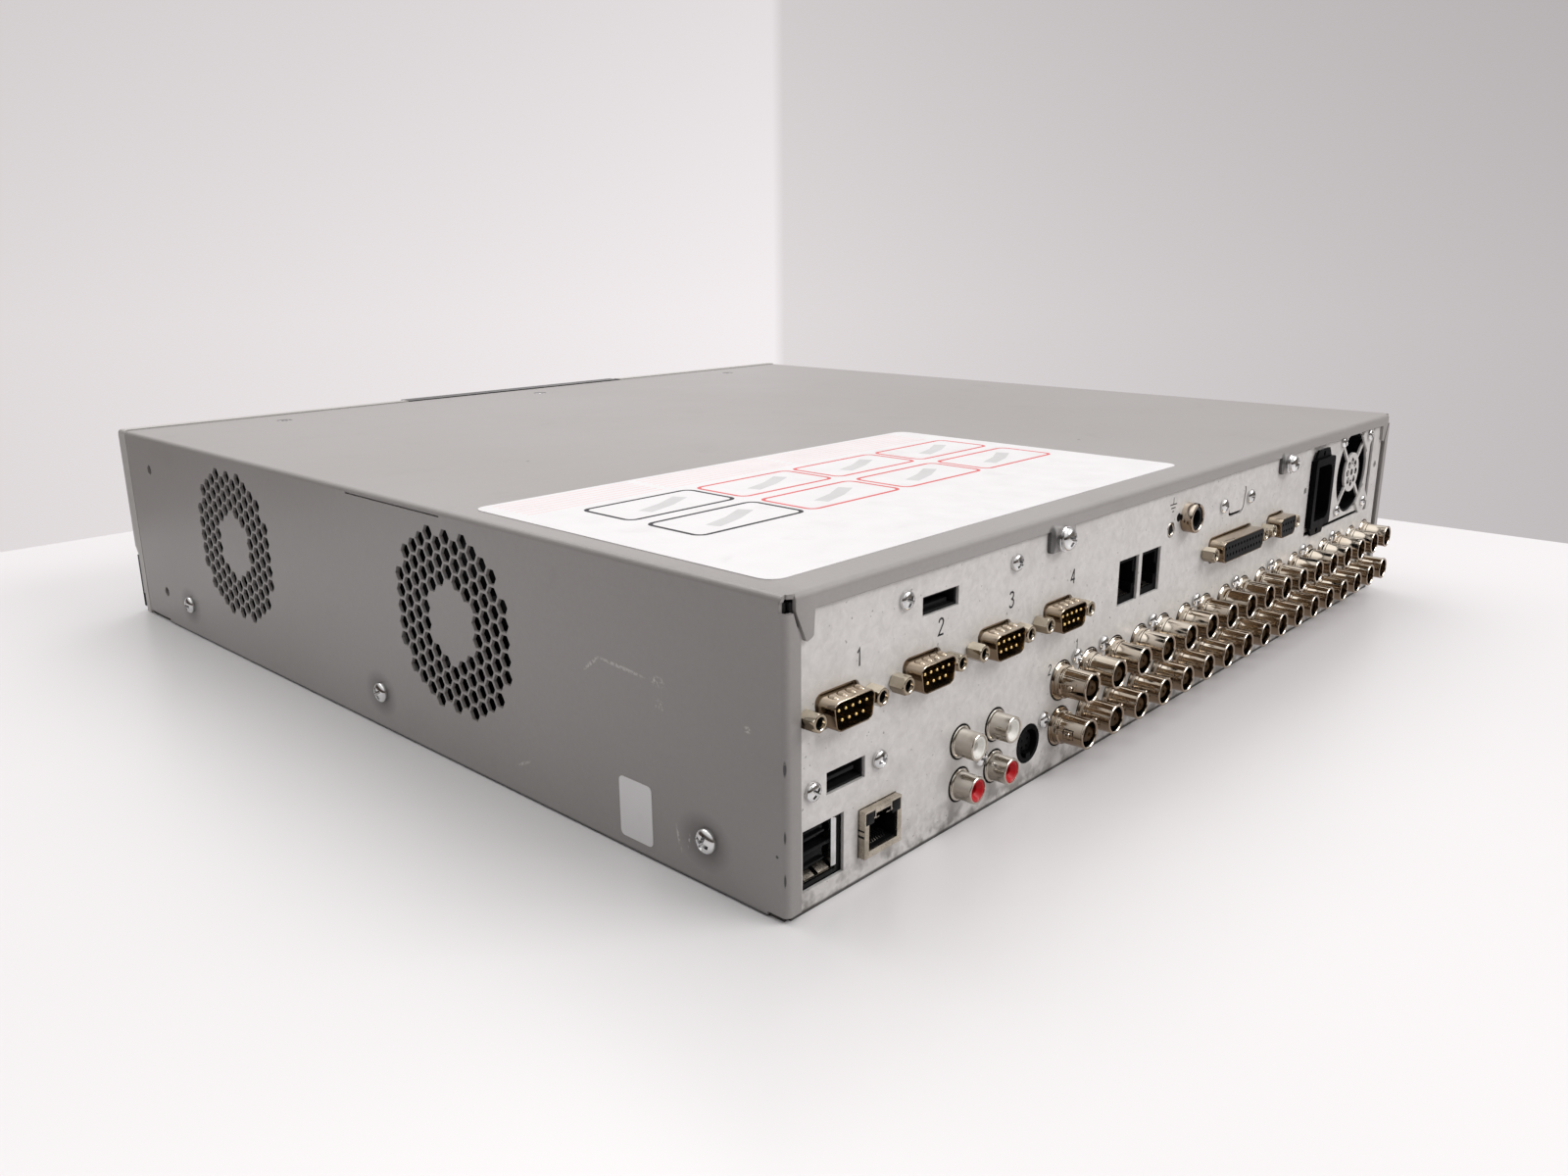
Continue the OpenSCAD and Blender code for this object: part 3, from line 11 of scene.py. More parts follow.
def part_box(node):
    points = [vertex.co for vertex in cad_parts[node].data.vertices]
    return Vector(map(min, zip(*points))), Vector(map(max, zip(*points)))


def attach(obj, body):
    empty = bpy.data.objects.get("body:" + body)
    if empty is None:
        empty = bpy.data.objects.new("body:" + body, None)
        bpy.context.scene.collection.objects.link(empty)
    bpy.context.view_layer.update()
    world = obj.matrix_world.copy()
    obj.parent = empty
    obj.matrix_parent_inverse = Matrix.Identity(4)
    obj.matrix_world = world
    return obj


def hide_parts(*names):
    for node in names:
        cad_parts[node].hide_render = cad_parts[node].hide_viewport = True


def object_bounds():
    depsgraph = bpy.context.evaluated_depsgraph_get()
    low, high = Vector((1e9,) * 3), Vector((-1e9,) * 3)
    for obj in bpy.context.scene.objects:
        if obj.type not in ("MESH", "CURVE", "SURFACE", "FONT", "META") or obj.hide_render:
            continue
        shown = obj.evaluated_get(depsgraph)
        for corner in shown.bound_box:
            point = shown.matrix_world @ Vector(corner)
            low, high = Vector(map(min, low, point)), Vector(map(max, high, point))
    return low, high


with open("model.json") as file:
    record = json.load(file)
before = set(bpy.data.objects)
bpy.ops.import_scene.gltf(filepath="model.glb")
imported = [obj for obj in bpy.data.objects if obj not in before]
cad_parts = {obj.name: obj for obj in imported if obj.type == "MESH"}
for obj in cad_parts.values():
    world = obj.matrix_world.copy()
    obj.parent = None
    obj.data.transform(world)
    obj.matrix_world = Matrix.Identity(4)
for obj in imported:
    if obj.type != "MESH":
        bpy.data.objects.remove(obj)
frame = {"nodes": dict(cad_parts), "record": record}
cad_low, cad_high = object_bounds()
NODES = frame["nodes"]
MM = 0.001

# ---- Node trees ----


class Shade:
    """A material's node tree, built with one short call for each node."""

    def __init__(self, name, color, roughness, metallic=0.0, **inputs):
        self.material = bpy.data.materials.new(name)
        self.material.use_nodes = True
        self.material.diffuse_color = (*color, 1.0)
        self.tree = self.material.node_tree
        self.shader = self.tree.nodes["Principled BSDF"]
        self.plug("Base Color", color)
        self.plug("Roughness", roughness)
        self.plug("Metallic", metallic)
        for key, value in inputs.items():
            self.plug(key.replace("_", " "), value)
        self.coordinates = self.tree.nodes.new("ShaderNodeTexCoord").outputs["Object"]

    def node(self, kind, sockets, **settings):
        """A new node; sockets says what goes into its inputs."""
        made = self.tree.nodes.new(kind)
        for key, value in settings.items():
            setattr(made, key, value)
        for key, value in sockets.items():
            self.feed(made.inputs[key], value)
        return made

    def feed(self, socket, value):
        """Links a socket or sets a plain value."""
        if isinstance(value, bpy.types.NodeSocket):
            self.tree.links.new(value, socket)
        elif isinstance(value, tuple) and len(value) == 3 and socket.type == "RGBA":
            socket.default_value = (*value, 1.0)
        else:
            socket.default_value = value

    def plug(self, name, value):
        self.feed(self.shader.inputs[name], value)

    def placed(self, stretch=(1, 1, 1), turn=(0, 0, 0)):
        """Object coordinates, stretched and turned."""
        sockets = {"Vector": self.coordinates, "Scale": stretch, "Rotation": turn}
        return self.node("ShaderNodeMapping", sockets).outputs["Vector"]

    def noise(self, size, detail=3.0, vector=None, distortion=0.0):
        """Noise whose features are about size across."""
        sockets = {"Vector": vector or self.coordinates, "Scale": 1 / size}
        sockets.update({"Detail": detail, "Distortion": distortion})
        return self.node("ShaderNodeTexNoise", sockets).outputs["Fac"]

    def cells(self, size, feature="F1", output="Distance", vector=None):
        """Voronoi cells about size across."""
        sockets = {"Vector": vector or self.coordinates, "Scale": 1 / size}
        return self.node("ShaderNodeTexVoronoi", sockets, feature=feature).outputs[output]

    def span(self, value, low, high, to_low=0.0, to_high=1.0):
        """Maps low..high to to_low..to_high, clamped."""
        sockets = {"Value": value, "From Min": low, "From Max": high, "To Min": to_low, "To Max": to_high}
        return self.node("ShaderNodeMapRange", sockets).outputs["Result"]

    def cloud(self, size, detail, low=0.0, high=1.0):
        """Noise spread over low..high."""
        return self.span(self.noise(size, detail), 0.3, 0.7, low, high)

    def combine(self, operation, a, b):
        return self.node("ShaderNodeMath", {0: a, 1: b}, operation=operation).outputs[0]

    def times(self, a, b):
        return self.combine("MULTIPLY", a, b)

    def mix(self, share, a, b):
        """Colour a at share 0, b at share 1."""
        return self.node("ShaderNodeMix", {0: share, 6: a, 7: b}, data_type="RGBA").outputs[2]

    def axis(self, letter, vector=None):
        return self.node("ShaderNodeSeparateXYZ", {0: vector or self.coordinates}).outputs[letter]

    def grey(self, color):
        return self.node("ShaderNodeRGBToBW", {0: color}).outputs[0]

    def mark(self, middle, size, turn=(0, 0, 0), broken=0.0, soft=0.45):
        """A soft patch: 1 inside an ellipsoid given in millimetres, with gaps where it is broken."""
        sockets = {
            "Vector": self.coordinates,
            "Location": [c * MM for c in middle],
            "Rotation": [math.radians(a) for a in turn],
            "Scale": [c * MM for c in size],
        }
        mapping = self.node("ShaderNodeMapping", sockets, vector_type="TEXTURE")
        reach = self.node("ShaderNodeVectorMath", {0: mapping.outputs["Vector"]}, operation="LENGTH")
        patch = self.span(reach.outputs["Value"], soft, 1.0, 1.0, 0.0)
        if broken:
            patch = self.times(patch, self.span(self.noise(0.0011, 3), broken, broken + 0.1))
        return patch

    def most(self, masks):
        """The strongest of several masks."""
        total = masks[0]
        for mask in masks[1:]:
            total = self.combine("MAXIMUM", total, mask)
        return total

    def soft_edge(self, radius):
        """A normal that rounds the edges in the shading."""
        return self.node("ShaderNodeBevel", {"Radius": radius}, samples=3).outputs["Normal"]

    def bump(self, height, depth, below=None):
        """A normal that follows height, depth high, on top of an earlier one."""
        sockets = {"Strength": 1.0, "Distance": depth, "Height": height}
        if below is not None:
            sockets["Normal"] = below
        return self.node("ShaderNodeBump", sockets).outputs["Normal"]


# ---- Materials ----

# Places on the case, in millimetres.
CASE_SIDE, PANEL_BEND, CASE_TOP = (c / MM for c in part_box("top_cover")[1])
TOP_SCREW_X = (-152.4, 0, 152.4)
TOP_SCREW_Y = -188
SIDE_SCREW_Y = (178.6, 9, -158.4)
SIDE_SCREW_Z = 13.6
TAB_X = (-91, 91)
TOP_PITS = ((144.5, 2.1), (-44.4, 136.3))
NOTCH_X = (-216, 216)

# Scratches on the +X side: middle y and z, half length and half height, tilt, and how broken each one is.
SCRATCHES = (
    (133, 54, 5.2, 0.75, 38, 0.42),
    (146, 55.8, 12, 0.7, -4, 0.42),
    (161.5, 55.2, 3.4, 1.9, 0, 0.5),
    (162, 48.5, 2.2, 2.0, 0, 0.52),
    (195.6, 50.6, 1.5, 1.2, 0, 0.48),
    (168.3, 11, 0.6, 4.6, 14, 0.46),
    (172.4, 11.6, 0.5, 2.6, -10, 0.46),
    (96, 12, 5.5, 0.6, 24, 0.44),
)

# Nicks along the rear bend: middle z, half width and half height.
NICKS = ((43.4, 0.5, 2.6), (24.6, 0.35, 2.2), (12.5, 0.35, 2.4))


def dark_hem(s, strength=1.0):
    """A mask of the shade in the slit between the case and the floor."""
    return s.span(s.axis("Z"), 0.0007, 0.0013, strength, 0.0)


def cover_scuffs(s):
    """Dark nicks on the rear bend, a speck on the side, pits in the top, and painted shadow along the foot.
    """
    scuffs = []
    for z, wide, high in NICKS:
        scuffs.append(s.mark((CASE_SIDE - 0.6, PANEL_BEND - 0.9, z), (1.2, wide, high), (0, 0, 0), 0.3, 0.6))
    scuffs.append(s.mark((CASE_SIDE, 205.6, 18.6), (1, 0.55, 0.5), soft=0.8))
    for x, y in TOP_PITS:
        scuffs.append(s.mark((x, y, CASE_TOP), (0.7, 0.7, 0.7), soft=0.8))
    return s.most([*scuffs, dark_hem(s)])


def cover_wear(s):
    """Masks of the wear and of the painted shade on the cover, lowest layer first, each with its strength and
    colour.
    """
    # Painted shade: a dark ring round each countersunk screw in the top.
    rings = [s.mark((x, TOP_SCREW_Y, CASE_TOP), (3.9, 3.9, 1.5), soft=0.86) for x in TOP_SCREW_X]
    # Painted shade: a dark halo in the dimple round each side screw.
    side_screw_shade = [s.mark((CASE_SIDE, y, SIDE_SCREW_Z), (6, 11, 9), soft=0.3) for y in SIDE_SCREW_Y]
    # Painted shade in the recess beside each tab screw.
    shaded = [s.mark((x + 7.0, PANEL_BEND, 79.8), (3.2, 3, 5.6), soft=0.75) for x in TAB_X]
    # Painted shade: the side darkens towards the rear bend.
    side_shade = s.mark((CASE_SIDE, PANEL_BEND, 40), (12, 110, 90), soft=0.0)
    scratches = []
    for y, z, half_length, half_height, tilt, broken in SCRATCHES:
        scratches.append(s.mark((CASE_SIDE, y, z), (2, half_length, half_height), (tilt, 0, 0), broken))
    return (
        (s.most(rings), 0.8, (0.03, 0.028, 0.026)),
        (s.most(side_screw_shade), 0.75, (0.06, 0.055, 0.052)),
        (s.most(shaded), 0.85, (0.02, 0.019, 0.018)),
        (side_shade, 0.32, (0.08, 0.075, 0.07)),
        (s.most(scratches), 0.55, (0.62, 0.6, 0.59)),
        (cover_scuffs(s), 0.9, (0.02, 0.02, 0.02)),
    )


def cover_paint():
    """Grey powder coat with a fine orange peel, smudges, pale scratches and dark scuffs, with painted shade
    round the screws, beside the tabs, on the side near the rear bend and along the foot.
    """
    s = Shade("cover_paint", (0.3, 0.285, 0.278), 0.34, Specular_IOR_Level=0.6)
    tone = s.mix(s.cloud(0.12, 3), (0.272, 0.257, 0.248), (0.296, 0.284, 0.277))
    tone = s.mix(s.times(s.cloud(0.0013, 3), 0.16), tone, (0.37, 0.355, 0.345))
    smudge = s.span(s.noise(0.022, 5, distortion=0.7), 0.6, 0.78, 0, 0.28)
    tone = s.mix(smudge, tone, (0.22, 0.208, 0.2))
    for mask, strength, color in cover_wear(s):
        tone = s.mix(s.times(mask, strength), tone, color)
    s.plug("Base Color", tone)
    s.plug("Roughness", s.cloud(0.03, 4, 0.33, 0.38))
    s.plug("Normal", s.bump(s.noise(0.0011, 2), 0.00003, s.soft_edge(0.0004)))
    return s.material


def galvanised():
    """Zinc-coated sheet: fine mottle, faint spangle, small pits, grime along the foot, painted shadow at the
    very foot, and painted shade in the top corners.
    """
    s = Shade("galvanised", (0.6, 0.585, 0.57), 0.5, 0.4)
    mottle = s.span(s.noise(0.0032, 5, distortion=0.8), 0.32, 0.68)
    tone = s.mix(mottle, (0.61, 0.595, 0.582), (0.72, 0.705, 0.692))
    spangle = s.span(s.grey(s.cells(0.006, output="Color", vector=s.placed((1, 1, 1.3)))), 0.2, 0.8, 0, 0.2)
    tone = s.mix(spangle, tone, (0.7, 0.69, 0.68))
    tone = s.mix(s.cloud(0.0008, 2, 0, 0.14), tone, (0.45, 0.435, 0.42))
    cloud = s.span(s.noise(0.02, 4, distortion=0.5), 0.5, 0.72, 0, 0.22)
    tone = s.mix(cloud, tone, (0.44, 0.425, 0.41))
    lowest = s.span(s.axis("Z"), 0.012, 0.002, 0, 0.8)
    tone = s.mix(s.times(s.span(s.noise(0.005, 6), 0.42, 0.6), lowest), tone, (0.2, 0.185, 0.17))
    # Painted shadow at the very foot.
    tone = s.mix(dark_hem(s, 0.9), tone, (0.03, 0.028, 0.025))
    # Painted shade in the top corners, by the cover's notches.
    corners = s.most([s.mark((x, PANEL_BEND - 3, 84), (7, 7, 6), soft=0.9) for x in NOTCH_X])
    tone = s.mix(corners, tone, (0.008, 0.008, 0.008))
    pit = s.span(s.noise(0.0014, 1), 0.748, 0.785, 0, 0.55)
    s.plug("Base Color", s.mix(pit, tone, (0.12, 0.11, 0.1)))
    s.plug("Roughness", s.span(s.noise(0.008, 4, distortion=0.5), 0.3, 0.7, 0.5, 0.64))
    s.plug("Normal", s.bump(s.noise(0.002, 4), 0.00002, s.soft_edge(0.0003)))
    return s.material


def plated(name, color, stain, roughness, size, below=0.0):
    """Bright plate with a thin uneven stain, and painted shade on the undersides by the share below."""
    s = Shade(name, color, roughness, 1.0)
    cloud = s.noise(size, 4, distortion=0.4)
    tone = s.mix(s.span(cloud, 0.4, 0.75, 0, 0.7), color, stain)
    # Painted shade: faces turned downwards are mixed towards a darker copy of the stain.
    if below:
        upwards = s.axis("Z", s.node("ShaderNodeTexCoord", {}).outputs["Normal"])
        facing = s.combine("ADD", upwards, s.span(cloud, 0.3, 0.7, -0.15, 0.15))
        underside_shade = tuple(c * k for c, k in zip(stain, (0.36, 0.3, 0.24)))
        tone = s.mix(s.span(facing, 0.6, -0.1, 0, below), tone, underside_shade)
    s.plug("Base Color", tone)
    s.plug("Roughness", s.cloud(size * 0.6, 3, roughness * 0.7, roughness * 1.5))
    s.plug("Normal", s.bump(s.noise(size * 1.3, 2), 0.00001))
    return s.material


def moulded(name, color, roughness, reflection=0.5):
    """Moulded plastic or ink with a fine texture and a slightly uneven tone."""
    s = Shade(name, color, roughness, Specular_IOR_Level=reflection)
    lighter = tuple(c * 1.04 + 0.003 for c in color)
    darker = tuple(c * 0.96 for c in color)
    s.plug("Base Color", s.mix(s.cloud(0.012, 4), darker, lighter))
    s.plug("Roughness", s.cloud(0.005, 3, roughness * 0.85, roughness * 1.15))
    s.plug("Normal", s.bump(s.noise(0.0007, 2), 0.00003))
    return s.material


def brushed(name, color, roughness, stretch):
    """Brushed or rolled metal whose fine lines run along one axis."""
    s = Shade(name, color, roughness, 1.0)
    lines = s.noise(0.0006, 3, vector=s.placed(stretch))
    s.plug("Base Color", s.mix(s.span(lines, 0.3, 0.7), tuple(c * 0.85 for c in color), color))
    s.plug("Roughness", s.span(lines, 0.3, 0.7, roughness * 0.8, roughness * 1.25))
    s.plug("Normal", s.bump(lines, 0.00001))
    return s.material


def circuit_board():
    """Green solder mask over a faint grid of tracks."""
    s = Shade("board", (0.02, 0.12, 0.05), 0.35)
    tracks = s.span(s.cells(0.004, "DISTANCE_TO_EDGE", vector=s.placed((1, 1, 1), (0, 0, 0.785))), 0.03, 0.06)
    s.plug("Base Color", s.mix(tracks, (0.05, 0.25, 0.1), (0.015, 0.1, 0.04)))
    s.plug("Roughness", s.cloud(0.004, 3, 0.25, 0.45))
    s.plug("Normal", s.bump(tracks, 0.00003))
    return s.material


def smoked_window():
    """Smoked clear plastic."""
    s = Shade("window", (0.05, 0.045, 0.05), 0.08, Transmission_Weight=0.55, IOR=1.49, Coat_Weight=0.4)
    s.plug("Roughness", s.cloud(0.01, 3, 0.05, 0.14))
    return s.material


def display_glass():
    """Dark display with a faint grid of cells."""
    s = Shade("display", (0.012, 0.03, 0.028), 0.18, Coat_Weight=0.3)
    grid = s.span(s.cells(0.0024, "DISTANCE_TO_EDGE"), 0.02, 0.05)
    s.plug("Base Color", s.mix(grid, (0.03, 0.07, 0.06), (0.012, 0.03, 0.028)))
    return s.material


def light_guide():
    """Pale green clear plastic."""
    s = Shade("lens", (0.45, 0.62, 0.42), 0.25, Transmission_Weight=0.35, IOR=1.49)
    s.plug("Roughness", s.cloud(0.001, 2, 0.18, 0.32))
    return s.material


def film_label():
    """White film with faint smudges."""
    white = (0.7, 0.69, 0.7)
    s = Shade("label", white, 0.34)
    smudge = s.span(s.noise(0.018, 6, distortion=0.8), 0.6, 0.75, 0, 0.35)
    s.plug("Base Color", s.mix(smudge, white, (0.56, 0.545, 0.55)))
    s.plug("Roughness", s.cloud(0.01, 3, 0.28, 0.42))
    return s.material


# Plastics and inks: colour, roughness, and strength of reflection where it isn't the usual one.
PLASTICS = {
    "fascia_plastic": ((0.43, 0.42, 0.405), 0.42),
    "black_plastic": ((0.004, 0.004, 0.0045), 0.3, 0.025),
    "dark_plastic": ((0.008, 0.008, 0.0085), 0.36, 0.07),
    "gloss_black": ((0.003, 0.003, 0.0033), 0.2, 0.08),
    "deep_black": ((0.0025, 0.0025, 0.003), 0.3, 0.015),
    "key_plastic": ((0.11, 0.11, 0.118), 0.5),
    "key_print": ((0.7, 0.7, 0.7), 0.5),
    "record_red": ((0.42, 0.03, 0.03), 0.45),
    "board_parts": ((0.02, 0.02, 0.022), 0.4),
    "insulator": ((0.16, 0.12, 0.085), 0.5),
    "white_plastic": ((0.75, 0.74, 0.7), 0.3),
    "red_plastic": ((0.48, 0.006, 0.012), 0.35, 0.25),
    "label_red": ((0.6, 0.07, 0.07), 0.4),
    "label_pink": ((0.74, 0.5, 0.5), 0.4),
    "label_ink": ((0.012, 0.012, 0.014), 0.5, 0.2),
    "label_grey": ((0.52, 0.515, 0.52), 0.4),
    "cable": ((0.2, 0.2, 0.21), 0.5),
}

# Plated metals: colour, stain, roughness, size of the stains, and share of painted shade on the undersides.
PLATES = {
    "nickel": ((0.74, 0.68, 0.59), (0.54, 0.43, 0.32), 0.075, 0.018, 0.9),
    "tarnished_nickel": ((0.62, 0.53, 0.42), (0.42, 0.33, 0.24), 0.15, 0.016, 0.85),
    "pale_nickel": ((0.72, 0.69, 0.63), (0.5, 0.45, 0.38), 0.16, 0.006, 0.55),
    "dark_nickel": ((0.3, 0.27, 0.23), (0.16, 0.14, 0.12), 0.24, 0.005),
    "network_metal": ((0.5, 0.45, 0.37), (0.2, 0.17, 0.13), 0.24, 0.004),
    "zinc_screw": ((0.74, 0.74, 0.74), (0.42, 0.42, 0.42), 0.13, 0.004),
    "yellow_zinc": ((0.66, 0.6, 0.49), (0.44, 0.37, 0.27), 0.13, 0.006, 0.75),
    "gold": ((0.9, 0.66, 0.28), (0.7, 0.48, 0.2), 0.16, 0.001),
}

# Brushed metals: colour, roughness, and the stretch that draws out the lines.
BRUSHED = {
    "plain_steel": ((0.6, 0.6, 0.61), 0.35, (1, 0.02, 1)),
    "aluminium": ((0.7, 0.71, 0.72), 0.35, (1, 0.02, 1)),
    "drive_metal": ((0.55, 0.56, 0.57), 0.4, (0.02, 1, 1)),
}

MATERIALS = {
    "cover_paint": cover_paint(),
    "galvanised": galvanised(),
    "window": smoked_window(),
    "display": display_glass(),
    "lens": light_guide(),
    "board": circuit_board(),
    "label": film_label(),
}
for rows, make in ((PLASTICS, moulded), (PLATES, plated), (BRUSHED, brushed)):
    for name, row in rows.items():
        MATERIALS[name] = make(name, *row)

# CAD nodes whose look is a variant of their slot's.
OWN_FINISH = {"network_shell": "network_metal", "keypad_sockets": "deep_black", "mains_inlet": "deep_black"}


def dress(made, finish):
    """Gives a piece its finish."""
    made.data.materials.clear()
    made.data.materials.append(MATERIALS[finish])
    return made


for row in frame["record"]["subparts"]:
    cad = NODES[row["node"]]
    for index in range(len(cad.material_slots)):
        cad.material_slots[index].material = MATERIALS[row["material_slot"]]

for node, finish in OWN_FINISH.items():
    NODES[node].material_slots[0].material = MATERIALS[finish]

# ---- Shapes and seats, in millimetres ----

REAR = Matrix(((-1, 0, 0), (0, 0, 1), (0, 1, 0))).to_4x4()
FRONT = Matrix(((1, 0, 0), (0, 0, -1), (0, 1, 0))).to_4x4()
RIGHT = Matrix(((0, 0, 1), (1, 0, 0), (0, 1, 0))).to_4x4()
LEFT = Matrix(((0, 0, -1), (-1, 0, 0), (0, 1, 0))).to_4x4()
TOP = Matrix.Identity(4)


def turned(degrees, axis="Z"):
    return Matrix.Rotation(math.radians(degrees), 4, axis)


def place(face, x, y, z, spin=0.0):
    """From millimetres on a face of the case, its +Z outwards, to metres in the shared frame."""
    return Matrix.Translation(Vector((x, y, z)) * MM) @ face @ turned(spin) @ Matrix.Scale(MM, 4)


def show(name, data):
    """A new object in the scene."""
    made = bpy.data.objects.new(name, data)
    bpy.context.scene.collection.objects.link(made)
    return made


def ended(bm, name="template"):
    """The mesh that a bmesh holds, which is then freed."""
    mesh = bpy.data.meshes.new(name)
    bm.to_mesh(mesh)
    bm.free()
    return mesh


def islands(name):
    """Low and high corners of each loose part of a CAD node, in millimetres."""
    mesh = NODES[name].data
    index, parent = {}, []

    def root(k):
        while parent[k] != k:
            parent[k] = parent[parent[k]]
            k = parent[k]
        return k

    keys = [tuple(round(c / MM, 2) for c in v.co) for v in mesh.vertices]
    for key in keys:
        if key not in index:
            index[key] = len(parent)
            parent.append(len(parent))
    for face in mesh.polygons:
        first = root(index[keys[face.vertices[0]]])
        for v in face.vertices:
            parent[root(index[keys[v]])] = first
    groups = {}
    for key, k in index.items():
        groups.setdefault(root(k), []).append(key)
    boxes = []
    for points in groups.values():
        boxes.append((Vector(map(min, zip(*points))), Vector(map(max, zip(*points)))))
    return sorted(boxes, key=lambda box: tuple(box[0]))


def skin(rings, loop=False):
    """A closed mesh over rings of points; a ring of one point is a tip."""
    bm = bmesh.new()
    made = [[bm.verts.new(p) for p in ring] for ring in rings]
    pairs = list(zip(made, made[1:]))
    if loop:
        pairs.append((made[-1], made[0]))
    for a, b in pairs:
        count = max(len(a), len(b))
        for k in range(count):
            quad = [a[k % len(a)], a[(k + 1) % len(a)], b[(k + 1) % len(b)], b[k % len(b)]]
            bm.faces.new(list(dict.fromkeys(quad)))
    if not loop:
        for end in (made[0], made[-1]):
            if len(end) > 2:
                bm.faces.new(end)
    bmesh.ops.recalc_face_normals(bm, faces=bm.faces)
    return ended(bm)


def circle(radius, z, steps):
    """A ring of points, or a tip where the radius is 0."""
    if radius == 0:
        return [Vector((0, 0, z))]
    turns = [2 * math.pi * k / steps for k in range(steps)]
    return [Vector((radius * math.cos(t), radius * math.sin(t), z)) for t in turns]


def lathe(profile, steps=40, loop=False):
    """Turns (radius, height) points round the Z axis."""
    return skin([circle(r, z, steps) for r, z in profile], loop)


def carved(mesh, cutters):
    """The first mesh with the others cut out of it."""
    stock = show("stock", mesh)
    tools = []
    for cutter in cutters:
        tool = show("tool", cutter)
        cut = stock.modifiers.new("cut", "BOOLEAN")
        cut.operation = "DIFFERENCE"
        cut.solver = "EXACT"
        cut.object = tool
        tools.append(tool)
    bpy.context.view_layer.update()
    result = bpy.data.meshes.new_from_object(stock.evaluated_get(bpy.context.evaluated_depsgraph_get()))
    for used in [stock, *tools]:
        bpy.data.objects.remove(used)
    return result


def corner_box(x0, x1, y0, y1, z0, z1, soft=0.12):
    """A block with softened edges."""
    bm = bmesh.new()
    bmesh.ops.create_cube(bm, size=1)
    for v in bm.verts:
        v.co = Vector((x1 if v.co.x > 0 else x0, y1 if v.co.y > 0 else y0, z1 if v.co.z > 0 else z0))
    bmesh.ops.bevel(bm, geom=bm.edges[:], offset=soft, segments=2, profile=0.5, affect="EDGES")
    return ended(bm)


def strip(points, width, thickness, normal=(0, 0, 1), closed=False):
    """A flat ribbon along a line of points, width across and thickness along its normal."""
    up = Vector(normal)
    line = [Vector(p) for p in points]
    rings = []
    for k, p in enumerate(line):
        before = line[k - 1] if closed or k > 0 else p
        after = line[(k + 1) % len(line)] if closed or k < len(line) - 1 else p
        a = (p - before).normalized() if p != before else (after - p).normalized()
        b = (after - p).normalized() if p != after else a
        middle = (a + b).normalized()
        stretch = 1 / max(0.5, middle.dot(a))
        side = up.cross(middle).normalized() * width * 0.5 * stretch
        rings.append([p - side, p + side, p + side + up * thickness, p - side + up * thickness])
    return skin(rings, closed)


def piece(name, finish, parts, replaced=(), body="case", angle=38):
    """Joins placed copies of meshes into one object that rides on a body."""
    bm = bmesh.new()
    for mesh, matrix in parts:
        copy = mesh.copy()
        copy.transform(matrix)
        bm.from_mesh(copy)
        bpy.data.meshes.remove(copy)
    mesh = ended(bm, name)
    mesh.shade_smooth()
    mesh.set_sharp_from_angle(angle=math.radians(angle))
    made = show(name, mesh)
    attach(made, body)
    if replaced:
        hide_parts(*replaced)
    return dress(made, finish)


def centre(box):
    return (box[0] + box[1]) / 2


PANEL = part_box("rear_panel")[1][1] / MM


def rear_seats(name):
    """Where each loose part of a node sits on the rear panel."""
    return [place(REAR, centre(box).x, PANEL, centre(box).z) for box in islands(name)]


def seated(meshes, seat):
    """The same seat for several meshes."""
    return [(mesh, seat) for mesh in meshes]


def node_middle(name):
    """The middle of a CAD node, across and upwards."""
    low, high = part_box(name)
    return (low[0] + high[0]) / 2 / MM, (low[2] + high[2]) / 2 / MM


# ---- Screws ----

SMALL_HEAD, LARGE_HEAD, FAN_HEAD = 2.0, 2.6, 1.8  # heights of the heads
TAB_STACK = 4  # a large head and its washer, over a tab
NEAR_SIDE = 6  # how far in from the case's side its screws reach
# The hole beside the earth bush is a thin black disc of painted shade.
EARTH_HOLE_SHADE = (7.3, 72.6)  # x and z of the small hole beside the earth bush


def cross_recess(reach, top, depth):
    """A Phillips recess: a tapering cross down from z = top."""

    def cross(a, w, z):
        points = [(a, -w), (a, w), (w, w), (w, a), (-w, a), (-w, w)]
        points += [(-a, w), (-a, -w), (-w, -w), (-w, -a), (w, -a), (w, -w)]
        return [Vector((x, y, z)) for x, y in points]

    return skin([
        cross(reach * 1.05, reach * 0.27, top + 0.4),
        cross(reach * 0.96, reach * 0.24, top - depth * 0.2),
        cross(reach * 0.36, reach * 0.15, top - depth)])


def pan_head(radius, height, shank, length):
    """A domed head on z = 0 with a cross recess, and its threaded shank below."""
    dome = [(0, height)]
    for k in range(1, 9):
        t = math.radians(90 * k / 8)
        dome.append((radius * math.sin(t), height * (0.3 + 0.7 * math.cos(t))))
    thread = [(shank - 0.12 * (k % 2), -0.3 - 0.25 * k) for k in range(int((length - 0.9) / 0.25))]
    profile = [*dome, (radius, 0.12), (radius - 0.12, 0), (shank, 0), *thread]
    profile += [(shank * 0.6, -length), (0, -length)]
    return carved(lathe(profile, 36), [cross_recess(radius * 0.66, height, height * 0.85)])


def flat_head(radius, height, shank):
    """A countersunk head whose top lies at z = 0."""
    profile = [(0, 0.05), (radius * 0.6, 0.02), (radius - 0.1, -0.06), (radius, -0.16)]
    profile += [(shank, -height + 0.6), (shank, -height), (0, -height)]
    return carved(lathe(profile, 36), [cross_recess(radius * 0.62, 0, 1.2)])


def is_bush(high):
    """Whether a loose part of the screws, by its high corner, is the bush that ends flush with the panel."""
    return abs(high.y - PANEL) < 0.3 and high.z > 60


